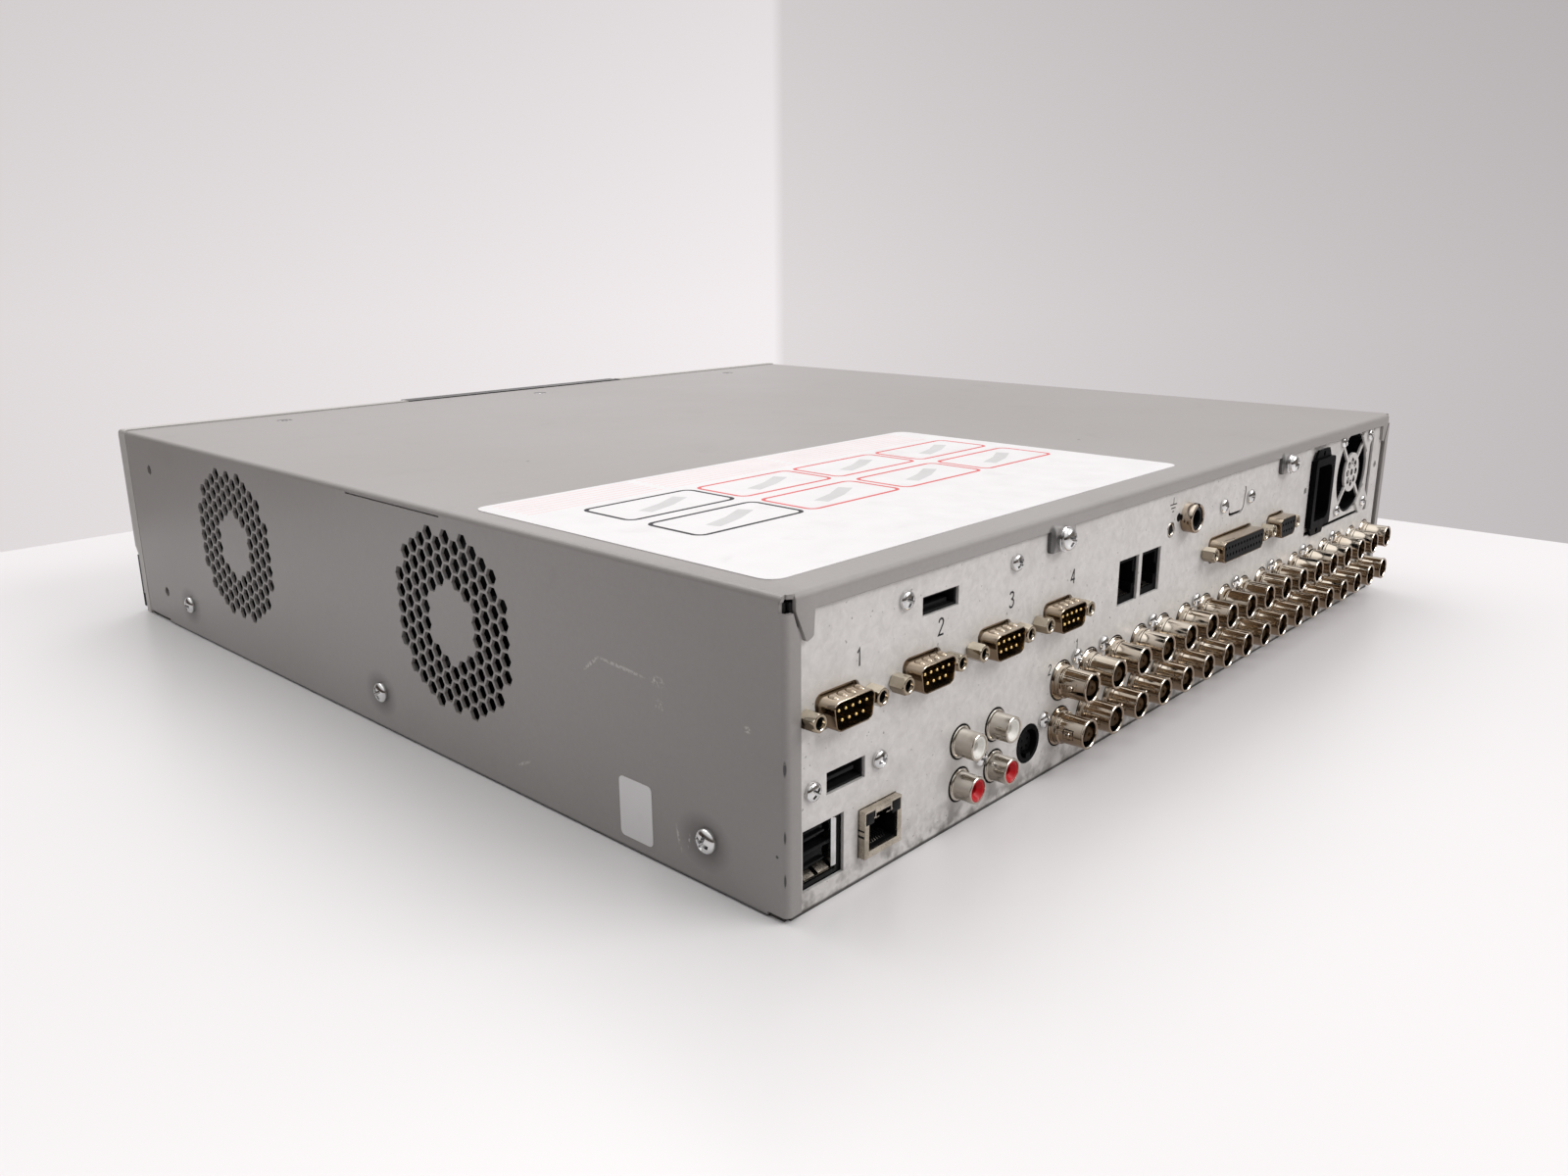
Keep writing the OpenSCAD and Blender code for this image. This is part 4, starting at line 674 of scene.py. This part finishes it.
def make_screws():
    """Pan-heads on the panel, its tabs, the sides and the fan, and countersunk ones in the top."""
    small = pan_head(2.8, SMALL_HEAD, 1.5, 6)
    large = pan_head(3.7, LARGE_HEAD, 1.95, 8)
    fan = pan_head(2.6, FAN_HEAD, 1.5, 5)
    washer = lathe([(1.9, 0), (4.0, 0), (4.1, 0.12), (4.1, 1.25), (3.95, 1.4), (1.9, 1.4)], 40, True)
    flush = flat_head(3.1, 2.25, 1.6)
    parts = []
    for number, (low, high) in enumerate(islands("screws")):
        x, y, z = centre((low, high))
        spin = 37 * number % 90
        if is_bush(high):
            continue
        if high.x > cad_high[0] / MM - NEAR_SIDE and high.y < PANEL - 10:
            parts.append((large, place(RIGHT, high.x - LARGE_HEAD, y, z, spin)))
        elif low.x < cad_low[0] / MM + NEAR_SIDE and high.y < PANEL - 10:
            parts.append((large, place(LEFT, low.x + LARGE_HEAD, y, z, spin)))
        elif high.y < 0:
            parts.append((flush, place(TOP, x, y, high.z, spin)))
        elif high.y > PANEL + TAB_STACK:
            parts.append((washer, place(REAR, x, high.y - TAB_STACK, z)))
            parts.append((large, place(REAR, x, high.y - LARGE_HEAD, z, spin)))
        elif high.x < -150 and high.x - low.x < 5.4:
            parts.append((fan, place(REAR, x, high.y - FAN_HEAD, z, spin)))
        else:
            parts.append((small, place(REAR, x, high.y - SMALL_HEAD, z, spin)))
    piece("bright_screws", "zinc_screw", parts, ["screws"], angle=30)


def make_earth_bush():
    """The threaded bush; gives back two black pieces of painted shade: a core in its bore, and a disc that
    stands for the hole beside it.
    """
    bore = [(1.9 - 0.16 * (k % 2), -0.2 - 0.22 * k) for k in range(18)]
    bush = lathe([(2.6, -5), (2.6, -0.12), (2.5, 0), (2.1, 0), *bore, (1.8, -5)], 40, True)
    # Painted shade: a black core in the bore, and a black disc for the hole beside the bush.
    earth_bore_shade = lathe([(0, -0.12), (1.72, -0.12), (1.72, -4.9), (0, -4.9)], 24)
    hole = lathe([(0, 0.03), (1.45, 0.03), (1.6, 0.0), (1.6, -0.05), (0, -0.05)], 28)
    seats = [seat for seat, box in zip(rear_seats("screws"), islands("screws")) if is_bush(box[1])]
    piece("earth_bush", "pale_nickel", [(bush, seat) for seat in seats])
    return [*[(earth_bore_shade, seat) for seat in seats], (hole, place(REAR, EARTH_HOLE_SHADE[0], PANEL, EARTH_HOLE_SHADE[1]))]


def hub_rings():
    """Black rings round the nine holes in the hub of the power supply's grille: painted shade that makes the
    holes look wider.
    """
    low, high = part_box("psu_fan_rotor")
    x, z = node_middle("psu_fan_rotor")
    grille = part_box("psu_case")[1][1] / MM
    reach = (high[0] - low[0]) / MM * 0.153
    ring = lathe([(1.0, -0.2), (1.5, -0.2), (1.5, 0.03), (1.0, 0.03)], 24, True)
    spots = [(ring, place(REAR, x, grille, z))]
    for turn in range(0, 360, 45):
        a = math.radians(turn)
        spots.append((ring, place(REAR, x - reach * math.cos(a), grille, z + reach * math.sin(a))))
    return spots


# ---- Round connectors ----


def arc_plate(radius, height, a0, a1, z0, z1, steps=6):
    """A plate that lies on a barrel of this radius between two angles and two heights."""
    rings = []
    for k in range(steps + 1):
        t = math.radians(a0 + (a1 - a0) * k / steps)
        c, s = math.cos(t), math.sin(t)
        inner, outer = radius - 0.1, radius + height
        corners = ((inner, z0), (outer, z0 + 0.05), (outer, z1 - 0.05), (inner, z1))
        rings.append([Vector((r * c, r * s, z)) for r, z in corners])
    return skin(rings)


LUG_PADS = ((-22, -17, -1.9, 1.9), (17, 22, -1.9, 1.9), (-17, 17, 1.5, 1.9), (-17, 17, -1.9, -1.5))


def bnc_barrel(length, outer, inner, flange):
    """A flange, a shoulder, and a barrel with a rolled rim."""
    return lathe([
        (2.6, -1.3), (flange, -1.3), (flange, 0.12), (flange - 0.18, 0.3), (outer + 0.75, 0.3),
        (outer + 0.6, 0.45), (outer + 0.6, 2.45), (outer + 0.5, 2.62), (outer + 0.12, 2.78), (outer, 3.0),
        (outer, length - 0.75), (outer + 0.1, length - 0.6), (outer + 0.1, length - 0.2),
        (outer - 0.05, length - 0.03), (outer - 0.3, length), (inner + 0.2, length - 0.05),
        (inner, length - 0.3), (inner, 3.4), (2.6, 3.4)], 48, True)


def make_bncs():
    """Bayonet sockets, each with two lugs on stamped pads, and a black ring of painted shade in the gap round
    its flange.
    """
    length, outer, inner, flange = 11.7, 5.0, 4.2, 6.5
    lug_z = length * 0.55
    lug = lathe([(0, 6.0), (0.6, 5.97), (0.88, 5.82), (1.0, 5.55), (1.0, 4.7), (0, 4.7)], 20)
    pieces = [(bnc_barrel(length, outer, inner, flange), Matrix.Identity(4))]
    for side in (0, 180):
        pieces.append((lug, turned(side) @ Matrix.Translation((0, 0, lug_z)) @ turned(90, "Y")))
        for a0, a1, z0, z1 in LUG_PADS:
            pieces.append((arc_plate(outer, 0.14, a0, a1, lug_z + z0, lug_z + z1), turned(side)))
    seats = rear_seats("bnc_barrels")
    parts = [(mesh, seat @ own) for seat in seats for mesh, own in pieces]
    piece("bayonet_barrels", "nickel", parts, ["bnc_barrels"], angle=32)
    # Painted shade: a black ring fills the gap round each flange.
    near, far = flange + 0.03, flange + 0.47
    gap_shade = lathe([(near, -0.95), (far, -0.95), (far, -0.2), (near, -0.2)], 48, True)
    piece("bayonet_gap_shade", "black_plastic", [(gap_shade, seat) for seat in seats])


def make_phonos():
    """Plain sleeves with a rolled rim, each with a black ring of painted shade in the gap round its flange.
    """
    sleeve = lathe([
        (3.5, -1.3), (5.05, -1.3), (5.05, 0.3), (4.9, 0.5), (4.6, 0.55), (4.32, 0.75), (4.25, 1.1),
        (4.25, 6.35), (4.18, 6.68), (4.0, 6.86), (3.8, 6.9), (3.55, 6.86), (3.5, 6.7)], 44, True)
    # Painted shade: a black ring fills the gap round each flange.
    gap_shade = lathe([(5.08, -0.95), (5.57, -0.95), (5.57, -0.15), (5.08, -0.15)], 44, True)
    seats = rear_seats("phono_barrels")
    piece("phono_sleeves", "pale_nickel", [(sleeve, seat) for seat in seats], ["phono_barrels"], angle=30)
    piece("phono_gap_shade", "black_plastic", [(gap_shade, seat) for seat in seats])


def make_round_socket():
    """The nickel collar with its key notch, and the black liner in it."""
    low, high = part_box("ir_socket")
    x, z = (low[0] + high[0]) / 2 / MM, high[2] / MM - 5.6
    collar = lathe([
        (4.3, -6), (4.9, -6), (4.9, 0), (5.5, 0.02), (5.5, 3.9), (5.35, 4.25), (5.1, 4.4), (4.55, 4.4),
        (4.3, 4.15)], 44, True)
    notch = corner_box(-0.7, 0.7, 3.9, 6.2, 2.4, 5.2, 0.05)
    block = corner_box(-6, 6, -5.4, 5.6, -13.3, -6.05, 0.2)
    seat = place(REAR, x, PANEL, z)
    metal = [(carved(collar, [notch]), seat), (block, seat)]
    piece("round_socket_collar", "nickel", metal, ["ir_socket"], angle=30)
    liner = lathe([(2.9, -5.9), (4.25, -5.9), (4.25, 3.7), (4.1, 3.9), (3.1, 3.8), (2.9, 3.4)], 40, True)
    piece("round_socket_liner", "gloss_black", [(liner, seat)])


# ---- D-shaped connectors and their screws ----

FIRST_PLUG_X = 60  # the nine-way plugs lie beyond it
EARS = 14.1  # how much wider than its shell a flange is


def d_outline(width, height, radius, z, steps=6):
    """The outline of a D connector, wide side up, with round corners."""
    slant = height * math.tan(math.radians(10))
    low, high, up = width / 2 - slant, width / 2, height / 2
    corners = [Vector(p) for p in ((-low, -up), (low, -up), (high, up), (-high, up))]
    ring = []
    for k, p in enumerate(corners):
        u = (corners[k - 1] - p).normalized()
        v = (corners[(k + 1) % 4] - p).normalized()
        half = math.acos(max(-1, min(1, u.dot(v)))) / 2
        middle = p + (u + v).normalized() * radius / math.sin(half)
        start = p + u * radius / math.tan(half) - middle
        end = p + v * radius / math.tan(half) - middle
        first = math.atan2(start.y, start.x)
        sweep = math.atan2(end.y, end.x) - first
        sweep = (sweep + math.pi) % (2 * math.pi) - math.pi
        for n in range(steps + 1):
            t = first + sweep * n / steps
            ring.append(Vector((middle.x + radius * math.cos(t), middle.y + radius * math.sin(t), z)))
    return ring


def d_shell(width, height, length, dimples):
    """A drawn shell with a filleted root, a rounded rim and pressed dimples on its upper side."""

    def ring(grow, z):
        return d_outline(width + 2 * grow, height + 2 * grow, max(0.6, 2.2 + grow), z)

    front = length + 1.2
    rings = [
        ring(0.95, 0.0), ring(0.45, 0.12), ring(0.12, 0.45), ring(0.0, 0.95), ring(0.0, front - 0.35),
        ring(-0.08, front - 0.12), ring(-0.25, front), ring(-0.42, front - 0.1), ring(-0.5, front - 0.4),
        ring(-0.5, -1.0), ring(0.95, -1.0)]
    parts = [(skin(rings, True), Matrix.Identity(4))]
    dome = lathe([(0, 0.5), (0.4, 0.46), (0.8, 0.3), (1.05, 0.06), (1.15, -0.1), (0, -0.1)], 20)
    for k in range(dimples):
        x = (k - (dimples - 1) / 2) * width * 0.2
        seat = Matrix.Translation((x, height / 2, front * 0.56)) @ turned(-90, "X")
        parts.append((dome, seat @ Matrix.Diagonal((0.95, 1.6, 1.5, 1))))
    return parts


def flange_plate(width):
    """The flat plate under a shell, with straight ends, open behind the shell."""
    half = (width + EARS) / 2
    outline = d_outline(width + EARS + 2.2, 12.4, 1.0, -1.0)
    back = [Vector((max(-half, min(half, p.x)), p.y, p.z)) for p in outline]
    front = [Vector((p.x, p.y, 0)) for p in back]
    hole = skin([d_outline(width - 0.9, 7.5, 1.8, -1.6), d_outline(width - 0.9, 7.5, 1.8, 0.6)])
    return carved(skin([back, front]), [hole])


def make_d_shells():
    """Every shell on its flange; the plugs have dimples."""
    parts = []
    for low, high in islands("dsub_shells"):
        x, z = (low.x + high.x) / 2, (low.z + high.z) / 2
        width = high.x - low.x - EARS
        seat = place(REAR, x, PANEL - 1.2, z)
        dimples = 4 if x > FIRST_PLUG_X else 0
        parts += [(mesh, seat @ own) for mesh, own in d_shell(width, 8.4, 6.0, dimples)]
        parts.append((flange_plate(width), seat))
    piece("connector_shells", "tarnished_nickel", parts, ["dsub_shells"], angle=30)


def hexagon(flats, z, steps=36):
    """A hexagon with as many points as a circle."""
    ring = []
    for k in range(steps):
        t = 2 * math.pi * k / steps
        reach = flats / 2 / math.cos((t + math.pi / 6) % (math.pi / 3) - math.pi / 6)
        ring.append(Vector((reach * math.cos(t), reach * math.sin(t), z)))
    return ring


def make_jackscrews():
    """Hexagonal heads with chamfered ends and a threaded bore on round stems, with a black liner of painted
    shade in each bore.
    """
    flats, length = 4.9, 5.2
    bore = [(1.5 - 0.13 * (k % 2), length - 0.75 - 0.24 * k) for k in range(15)]
    rings = [
        circle(flats / 2 - 0.1, 0, 36), hexagon(flats, 0.35), hexagon(flats, length - 0.5),
        circle(flats / 2 + 0.03, length - 0.12, 36), circle(flats / 2 - 0.18, length, 36),
        circle(1.85, length, 36), circle(1.68, length - 0.15, 36)]
    rings += [circle(r, z, 36) for r, z in bore]
    rings.append([Vector((0, 0, 0.9))])
    nut = skin(rings)
    stem = lathe([(0, 0), (1.45, 0), (1.45, -5.0), (1.2, -5.2), (0, -5.2)], 24)
    # Painted shade: a black liner inside each bore.
    bore_shade_end = length - 0.7
    liner = lathe([(0, 1.0), (1.35, 1.0), (1.35, bore_shade_end), (1.2, bore_shade_end), (1.0, 1.4), (0, 1.4)], 24)
    parts, bore_shade_parts = [], []
    for number, (low, high) in enumerate(islands("jackscrews")):
        seat = place(REAR, (low.x + high.x) / 2, PANEL, (low.z + high.z) / 2, 17 * number % 60)
        parts += [(nut, seat), (stem, seat)]
        bore_shade_parts.append((liner, seat))
    piece("hexagon_jackscrews", "yellow_zinc", parts, ["jackscrews"], angle=28)
    piece("jackscrew_bore_shade", "black_plastic", bore_shade_parts)


# ---- Contacts and springs inside the sockets ----


def make_network_details():
    """Spring fingers, latch and contacts of the network socket, its light windows, and thin dark strips of
    painted shade for its side slots.
    """
    x, z = node_middle("network_shell")
    seat = place(REAR, x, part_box("network_shell")[1][1] / MM, z)
    fingers, lights = [], []
    for offset in (-2.35, 2.35):
        bend = [(offset, 3.8, -0.2), (offset, 3.35, -1.4), (offset, 2.9, -3.4), (offset, 3.3, -6.4)]
        fingers.append(strip(bend, 1.5, 0.2, (0, 1, 0)))
    fingers.append(corner_box(-3.3, 3.3, 5.4, 6.0, -0.9, 0.12, 0.08))
    for side in (-1, 1):
        latch, light, wall = side * 3.45, side * 5.8, side * 8.0
        fingers.append(corner_box(latch - 0.2, latch + 0.2, 3.9, 6.9, -0.9, 0.1, 0.05))
        lights.append(corner_box(light - 1.9, light + 1.9, 2.7, 6.5, -0.8, 0.03, 0.2))
        # Painted shade: thin dark strips at the walls stand for the side slots.
        for low, high in ((-0.9, -0.2), (1.0, 1.5)):
            lights.append(corner_box(wall - 0.03, wall + 0.03, low, high, -4.2, -0.25, 0.01))
    for k in range(8):
        wire = [(k - 3.5, -4.9, -2.2), (k - 3.5, -4.5, -2.8), (k - 3.5, -2.4, -6.5)]
        fingers.append(strip(wire, 0.34, 0.25, (0, 1, 0)))
    piece("network_spring_fingers", "pale_nickel", seated(fingers, seat))
    piece("network_windows_and_slot_shade", "dark_plastic", seated(lights, seat))


def make_keypad_wires():
    """Six bent contact wires in each keypad socket."""
    bend = ((-5.5, -1.6), (-5.3, -2.2), (-3.9, -5.5), (-2.2, -9.5), (-2.0, -13))
    wires = []
    for seat in rear_seats("keypad_sockets"):
        for k in range(6):
            line = [(-3.4 + k * 1.1, y, z) for y, z in bend]
            wires.append((strip(line, 0.34, 0.3, (0, 1, 0)), seat))
    piece("keypad_contact_wires", "dark_nickel", wires)


def socket_shell(width, height, depth, wall):
    """A sheet-metal mouth, open at z = 0, with a rounded lip."""
    x, y = width / 2, height / 2
    outer = corner_box(-x, x, -y, y, -depth, 0, 0.3)
    inner = corner_box(wall - x, x - wall, wall - y, y - wall, 1 - depth, 2, 0.3)
    return carved(outer, [inner])


def make_springs(half_w, half_h, seat):
    """The bright lip on the +X wall of the stacked socket, and two springs rising from its floor."""
    lip = [(half_w + 0.35, 0, 0.5), (half_w - 0.3, 0, 0.3), (half_w - 0.75, 0, -0.2), (half_w - 0.8, 0, -1.2)]
    piece("double_socket_blade", "zinc_screw", [(strip(lip, half_h * 1.75, 0.15, (1, 0, 0)), seat)])
    floor = -half_h + 0.55
    springs = []
    for x in (-2.9, 2.9):
        line = [(x, floor, -0.2), (x, floor + 0.5, -1.2), (x, floor + 1.5, -3.2), (x, floor + 0.5, -7)]
        springs.append(strip(line, 4.2, 0.18, (0, 1, 0)))
    piece("double_socket_springs", "dark_nickel", seated(springs, seat))


def make_housing(half_w, half_h, seat):
    """The black frame round the stacked socket, its two tongues with their lips, and the bar between them."""
    outer = corner_box(-half_w - 1.9, half_w + 3.4, -half_h - 2.4, half_h + 1.7, -2.5, 0.4, 0.05)
    inner = corner_box(-half_w - 0.05, half_w + 0.05, -half_h - 0.05, half_h + 0.05, -5, 2, 0.1)
    blocks = [carved(outer, [inner])]
    for row in (0, 1):
        floor = -half_h + 1.5 + row * 8
        blocks.append(corner_box(-half_w + 0.6, half_w - 2.2, floor + 0.6, floor + 5.4, -15, -1.9, 0.35))
        blocks.append(corner_box(-half_w + 0.8, half_w - 2.6, floor + 1.9, floor + 2.5, -2.2, -1.0, 0.12))
    blocks.append(corner_box(-half_w + 0.5, half_w - 0.5, -0.55, 0.55, -15, -0.9, 0.2))
    piece("double_socket_housing", "gloss_black", seated(blocks, seat), ["usb_tongues"])


def make_usb_sockets():
    """The stacked rear socket in its black housing, and the two on the front."""
    *front, rear = sorted(islands("usb_shells"), key=lambda box: box[1].y)
    rear_seat = place(REAR, centre(rear).x, rear[1].y, centre(rear).z)
    front_seats = [place(FRONT, centre(box).x, box[0].y, centre(box).z) for box in front]
    width, _, height = rear[1] - rear[0]
    metal = [(socket_shell(width, height, 17, 0.4), rear_seat)]
    metal += [(socket_shell(13.8, 6.6, 12, 0.5), seat) for seat in front_seats]
    piece("socket_mouths", "dark_nickel", metal, ["usb_shells"])
    make_springs(width / 2, height / 2, rear_seat)
    make_housing(width / 2, height / 2, rear_seat)
    tongue = corner_box(-5.6, 5.6, 0.3, 2.2, -11, -1, 0.15)
    piece("front_socket_tongues", "dark_plastic", [(tongue, seat) for seat in front_seats])


def make_inlet_pins():
    """Bright sleeves on the ends of the three blades."""
    x, z = node_middle("mains_inlet")
    seat = place(REAR, x, PANEL, z)
    half_w, half_h = 2.12, 1.12
    blades = []
    for px, pz in ((-1.8, 7), (-1.8, -7), (3.2, 0)):
        blades.append(corner_box(px - half_w, px + half_w, pz - half_h, pz + half_h, -12.5, -2.45, 0.35))
    piece("inlet_blades", "zinc_screw", seated(blades, seat))


# ---- Labels and printed marks ----


def round_frame(x0, x1, y0, y1, radius, z, steps=6):
    """The outline of a rectangle with round corners."""
    points = []
    for cx, cy, start in ((x1 - radius, y0 + radius, -90), (x1 - radius, y1 - radius, 0),
                          (x0 + radius, y1 - radius, 90), (x0 + radius, y0 + radius, 180)):
        for k in range(steps + 1):
            t = math.radians(start + 90 * k / steps)
            points.append((cx + radius * math.cos(t), cy + radius * math.sin(t), z))
    return points


FRAME_PITCH = 49.0  # from one frame on the label to the next
FRAME_W, FRAME_H, FRAME_RADIUS = 45.5, 23.6, 3.2


def make_labels():
    """The films keep the CAD outlines; the large one carries empty frames, grey bars and ruled lines."""
    low, high = max(islands("labels"), key=lambda box: box[1].z)
    top = high.z
    frames_red, frames_dark, rules, bars = [], [], [], []
    seat = Matrix.Scale(MM, 4)
    for column in range(4):
        right = high.x - 22.0 - column * FRAME_PITCH
        for y in (low.y + 28.7, low.y + 59.5):
            outline = round_frame(right - FRAME_W, right, y, y + FRAME_H, FRAME_RADIUS, top)
            if column == 0:
                frames_dark.append(strip(outline, 1.5, 0.02, closed=True))
            else:
                frames_red.append(strip(outline, 1.4, 0.02, closed=True))
            bar = [(right - 12, y + 16.5, top), (right - 24, y + 13, top), (right - 35, y + 7.5, top)]
            bars.append(strip(bar, 5.2, 0.012))
    for k in range(7):
        y = low.y + 3.2 + k * 3.1
        for x0, x1 in ((high.x - 6, high.x - 62), (high.x - 66, high.x - 128), (high.x - 131, low.x + 12)):
            rules.append(strip([(x0, y, top), (x1, y, top)], 0.5, 0.012))
    piece("label_red_frames", "label_red", seated(frames_red, seat))
    piece("label_dark_frames", "label_ink", seated(frames_dark, seat))
    piece("label_rules", "label_pink", seated(rules, seat))
    piece("label_grey_bars", "label_grey", seated(bars, seat))


# Strokes of the digits, in a box 3 wide and 6 high.
DIGITS = {
    "1": [[(0.7, 4.7), (1.7, 6), (1.7, 0)]],
    "2": [[(0.1, 4.6), (0.5, 5.6), (1.4, 6), (2.3, 5.7), (2.8, 4.8), (2.5, 3.7), (0, 0), (3, 0)]],
    "3": [[(0.1, 5.2), (0.8, 5.9), (1.8, 6), (2.6, 5.4), (2.6, 4.2), (1.9, 3.3), (1.1, 3.2)],
          [(1.9, 3.3), (2.8, 2.4), (2.9, 1.2), (2.1, 0.1), (1, 0), (0, 0.8)]],
    "4": [[(2.2, 0), (2.2, 6)], [(2.2, 6), (0, 1.8), (3, 1.8)]],
}


def digit_strokes(digit, height):
    """Strokes of a plain digit, centred on the origin."""
    size = height / 6
    strokes = []
    for line in DIGITS[digit]:
        points = [(x * size - 1.5 * size, y * size - height / 2, 0) for x, y in line]
        strokes.append(strip(points, height * 0.13, 0.02))
    return strokes


EARTH_MARK = (12.4, 78.2)  # x and z of the earth sign


def earth_strokes():
    """The upright and the three bars of the earth sign."""
    lines = [((0, 2.6, 0), (0, 0, 0))]
    for k, half in enumerate((2.6, 1.7, 0.8)):
        lines.append(((-half, -1.3 * k, 0), (half, -1.3 * k, 0)))
    return [strip(line, 0.42, 0.02) for line in lines]


def make_numbers():
    """1 to 4 over the nine-way plugs, 1 and 2 at the first round sockets, and the earth sign."""
    plugs = sorted((centre(box).x for box in islands("dsub_shells")), reverse=True)
    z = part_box("dsub_shells")[1][2] / MM + 4.6
    parts = []
    for number, x in enumerate([x for x in plugs if x > FIRST_PLUG_X], 1):
        parts += seated(digit_strokes(str(number), height=4.8), place(REAR, x - 8.5, PANEL, z))
    first = max(centre(box).x for box in islands("bnc_barrels"))
    for digit, x, z in (("1", first - 9.0, 41.0), ("2", first + 7.6, 36.4)):
        parts += seated(digit_strokes(digit, height=3.4), place(REAR, x, PANEL, z))
    parts += seated(earth_strokes(), place(REAR, EARTH_MARK[0], PANEL, EARTH_MARK[1]))
    piece("panel_numbers", "label_ink", parts)


# Outlines of the symbols on the keys, centred on each key.
KEY_MARKS = {
    "play_key": [[(-1.5, -1.9), (1.9, 0), (-1.5, 1.9)]],
    "pause_key": [[(-1.5, -1.8), (-0.5, -1.8), (-0.5, 1.8), (-1.5, 1.8)],
                  [(0.5, -1.8), (1.5, -1.8), (1.5, 1.8), (0.5, 1.8)]],
    "stop_key": [[(-1.6, -1.6), (1.6, -1.6), (1.6, 1.6), (-1.6, 1.6)]],
    "rewind_key": [[(0, -1.6), (0, 1.6), (-2.5, 0)], [(2.5, -1.6), (2.5, 1.6), (0, 0)]],
    "forward_key": [[(0, -1.6), (2.5, 0), (0, 1.6)], [(-2.5, -1.6), (0, 0), (-2.5, 1.6)]],
    "record_key": [[(p.x, p.y) for p in circle(1.5, 0, 24)]],
}


def make_key_marks():
    """The usual transport symbols, each riding on its own key."""
    for key, outlines in KEY_MARKS.items():
        x, z = node_middle(key)
        seat = place(FRONT, x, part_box(key)[0][1] / MM, z)
        plates = []
        for outline in outlines:
            plates.append(skin([[Vector((x, y, z)) for x, y in outline] for z in (-0.1, 0.03)]))
        piece(key.replace("key", "mark"), "key_print", seated(plates, seat), body=key)


def make_pieces():
    """Everything on and in the case that is finer than its CAD."""
    make_screws()
    # Black pieces of painted shade in the earth bush's bore, at the hole beside it, and round the hub's
    # holes.
    piece("painted_hole_shade", "black_plastic", [*make_earth_bush(), *hub_rings()])
    make_bncs()
    make_phonos()
    make_round_socket()
    make_d_shells()
    make_jackscrews()
    make_network_details()
    make_keypad_wires()
    make_usb_sockets()
    make_inlet_pins()
    make_labels()
    make_numbers()
    make_key_marks()


make_pieces()

# ---- Stage, lights and camera ----

FLOOR_EDGE = (-0.39, -0.405)  # x and y where the floor meets the walls
WALL_CORNER = Vector((-0.7025, -0.6587, 0))  # direction of the corner between the walls
LAMP_TINT = (1.0, 0.985, 0.98)


def pale_floor():
    """Smooth pale floor, faintly uneven, with a few specks."""
    s = Shade("floor", (0.69, 0.678, 0.688), 0.3)
    tone = s.mix(s.cloud(0.4, 3), (0.675, 0.662, 0.672), (0.705, 0.692, 0.702))
    speck = s.span(s.noise(0.0012, 1), 0.8, 0.83, 0, 0.25)
    s.plug("Base Color", s.mix(speck, tone, (0.6, 0.58, 0.58)))
    s.plug("Roughness", s.cloud(0.15, 2, 0.31, 0.34))
    return s.material


def make_floor():
    """The floor ends at the foot of the two walls, behind the case, and runs on under the camera."""
    near = 9.0
    far_x, far_y = FLOOR_EDGE
    mesh = bpy.data.meshes.new("floor")
    corners = [(far_x, far_y, 0), (near, far_y, 0), (near, near, 0), (far_x, near, 0)]
    mesh.from_pydata(corners, [], [(0, 1, 2, 3)])
    mesh.materials.append(pale_floor())
    show("floor", mesh)


class Sky(Shade):
    """The node tree of the surroundings; its coordinates are directions."""

    def __init__(self):
        world = bpy.data.worlds.new("surroundings")
        world.use_nodes = True
        bpy.context.scene.world = world
        self.tree = world.node_tree
        self.shader = self.tree.nodes["Background"]
        self.coordinates = self.tree.nodes.new("ShaderNodeTexCoord").outputs["Generated"]


def make_world():
    """Two pale walls that meet in a corner, a bright ceiling, and dim brown on the +X and +Y sides."""
    s = Sky()
    x, y, z = s.axis("X"), s.axis("Y"), s.axis("Z")
    across = s.combine("ADD", s.times(x, WALL_CORNER.y), s.times(y, -WALL_CORNER.x))
    left = s.mix(s.span(across, -0.55, 0.0), (0.735, 0.695, 0.7), (0.9, 0.855, 0.865))
    right = s.mix(s.span(across, 0.0, 0.56), (0.74, 0.7, 0.705), (0.52, 0.49, 0.495))
    wall = s.mix(s.span(across, -0.004, 0.004), left, right)
    wall = s.mix(s.span(z, -0.05, 0.17, 0, 0.14), wall, (0, 0, 0))
    wall = s.mix(s.span(y, 0.15, 0.6), wall, (0.16, 0.135, 0.115))
    wall = s.mix(s.span(x, -0.1, 0.45), wall, (0.06, 0.045, 0.035))
    tone = s.mix(s.span(z, 0.3, 0.6), wall, (0.8, 0.79, 0.785))
    s.plug("Color", s.mix(s.span(z, 0.72, 0.92), tone, (1.35, 1.33, 1.32)))
    s.plug("Strength", 1.0)


def make_light(name, spot, target, size, power):
    """A rectangular lamp that faces its target."""
    data = bpy.data.lights.new(name, "AREA")
    data.shape = "RECTANGLE"
    data.size, data.size_y = size
    data.energy = power
    data.color = LAMP_TINT
    light = show(name, data)
    light.location = spot
    light.rotation_euler = (Vector(target) - Vector(spot)).to_track_quat("-Z", "Y").to_euler()


def make_camera():
    """The camera stands off the rear right corner, a little above the top."""
    data = bpy.data.cameras.new("camera")
    data.sensor_width = 36.0
    data.lens = 27.89
    data.clip_start = 0.01
    data.clip_end = 60.0
    spot = (0.421656, 0.397628, 0.167831)
    heading, tilt, roll = 133.0135, 74.3714, -0.3504
    camera = show("camera", data)
    camera.matrix_world = Matrix.Translation(spot) @ turned(heading) @ turned(tilt, "X") @ turned(roll)
    bpy.context.scene.camera = camera


make_floor()
make_world()
make_light("overhead", spot=(-0.2, -0.9, 1.8), target=(0, 0, 0), size=(2.0, 1.3), power=17.5)
make_light("rear_key", spot=(-0.75, 1.65, 1.5), target=(0, 0.2, 0.04), size=(1.5, 0.8), power=25)
make_camera()
bpy.context.scene.view_settings.view_transform = "Standard"
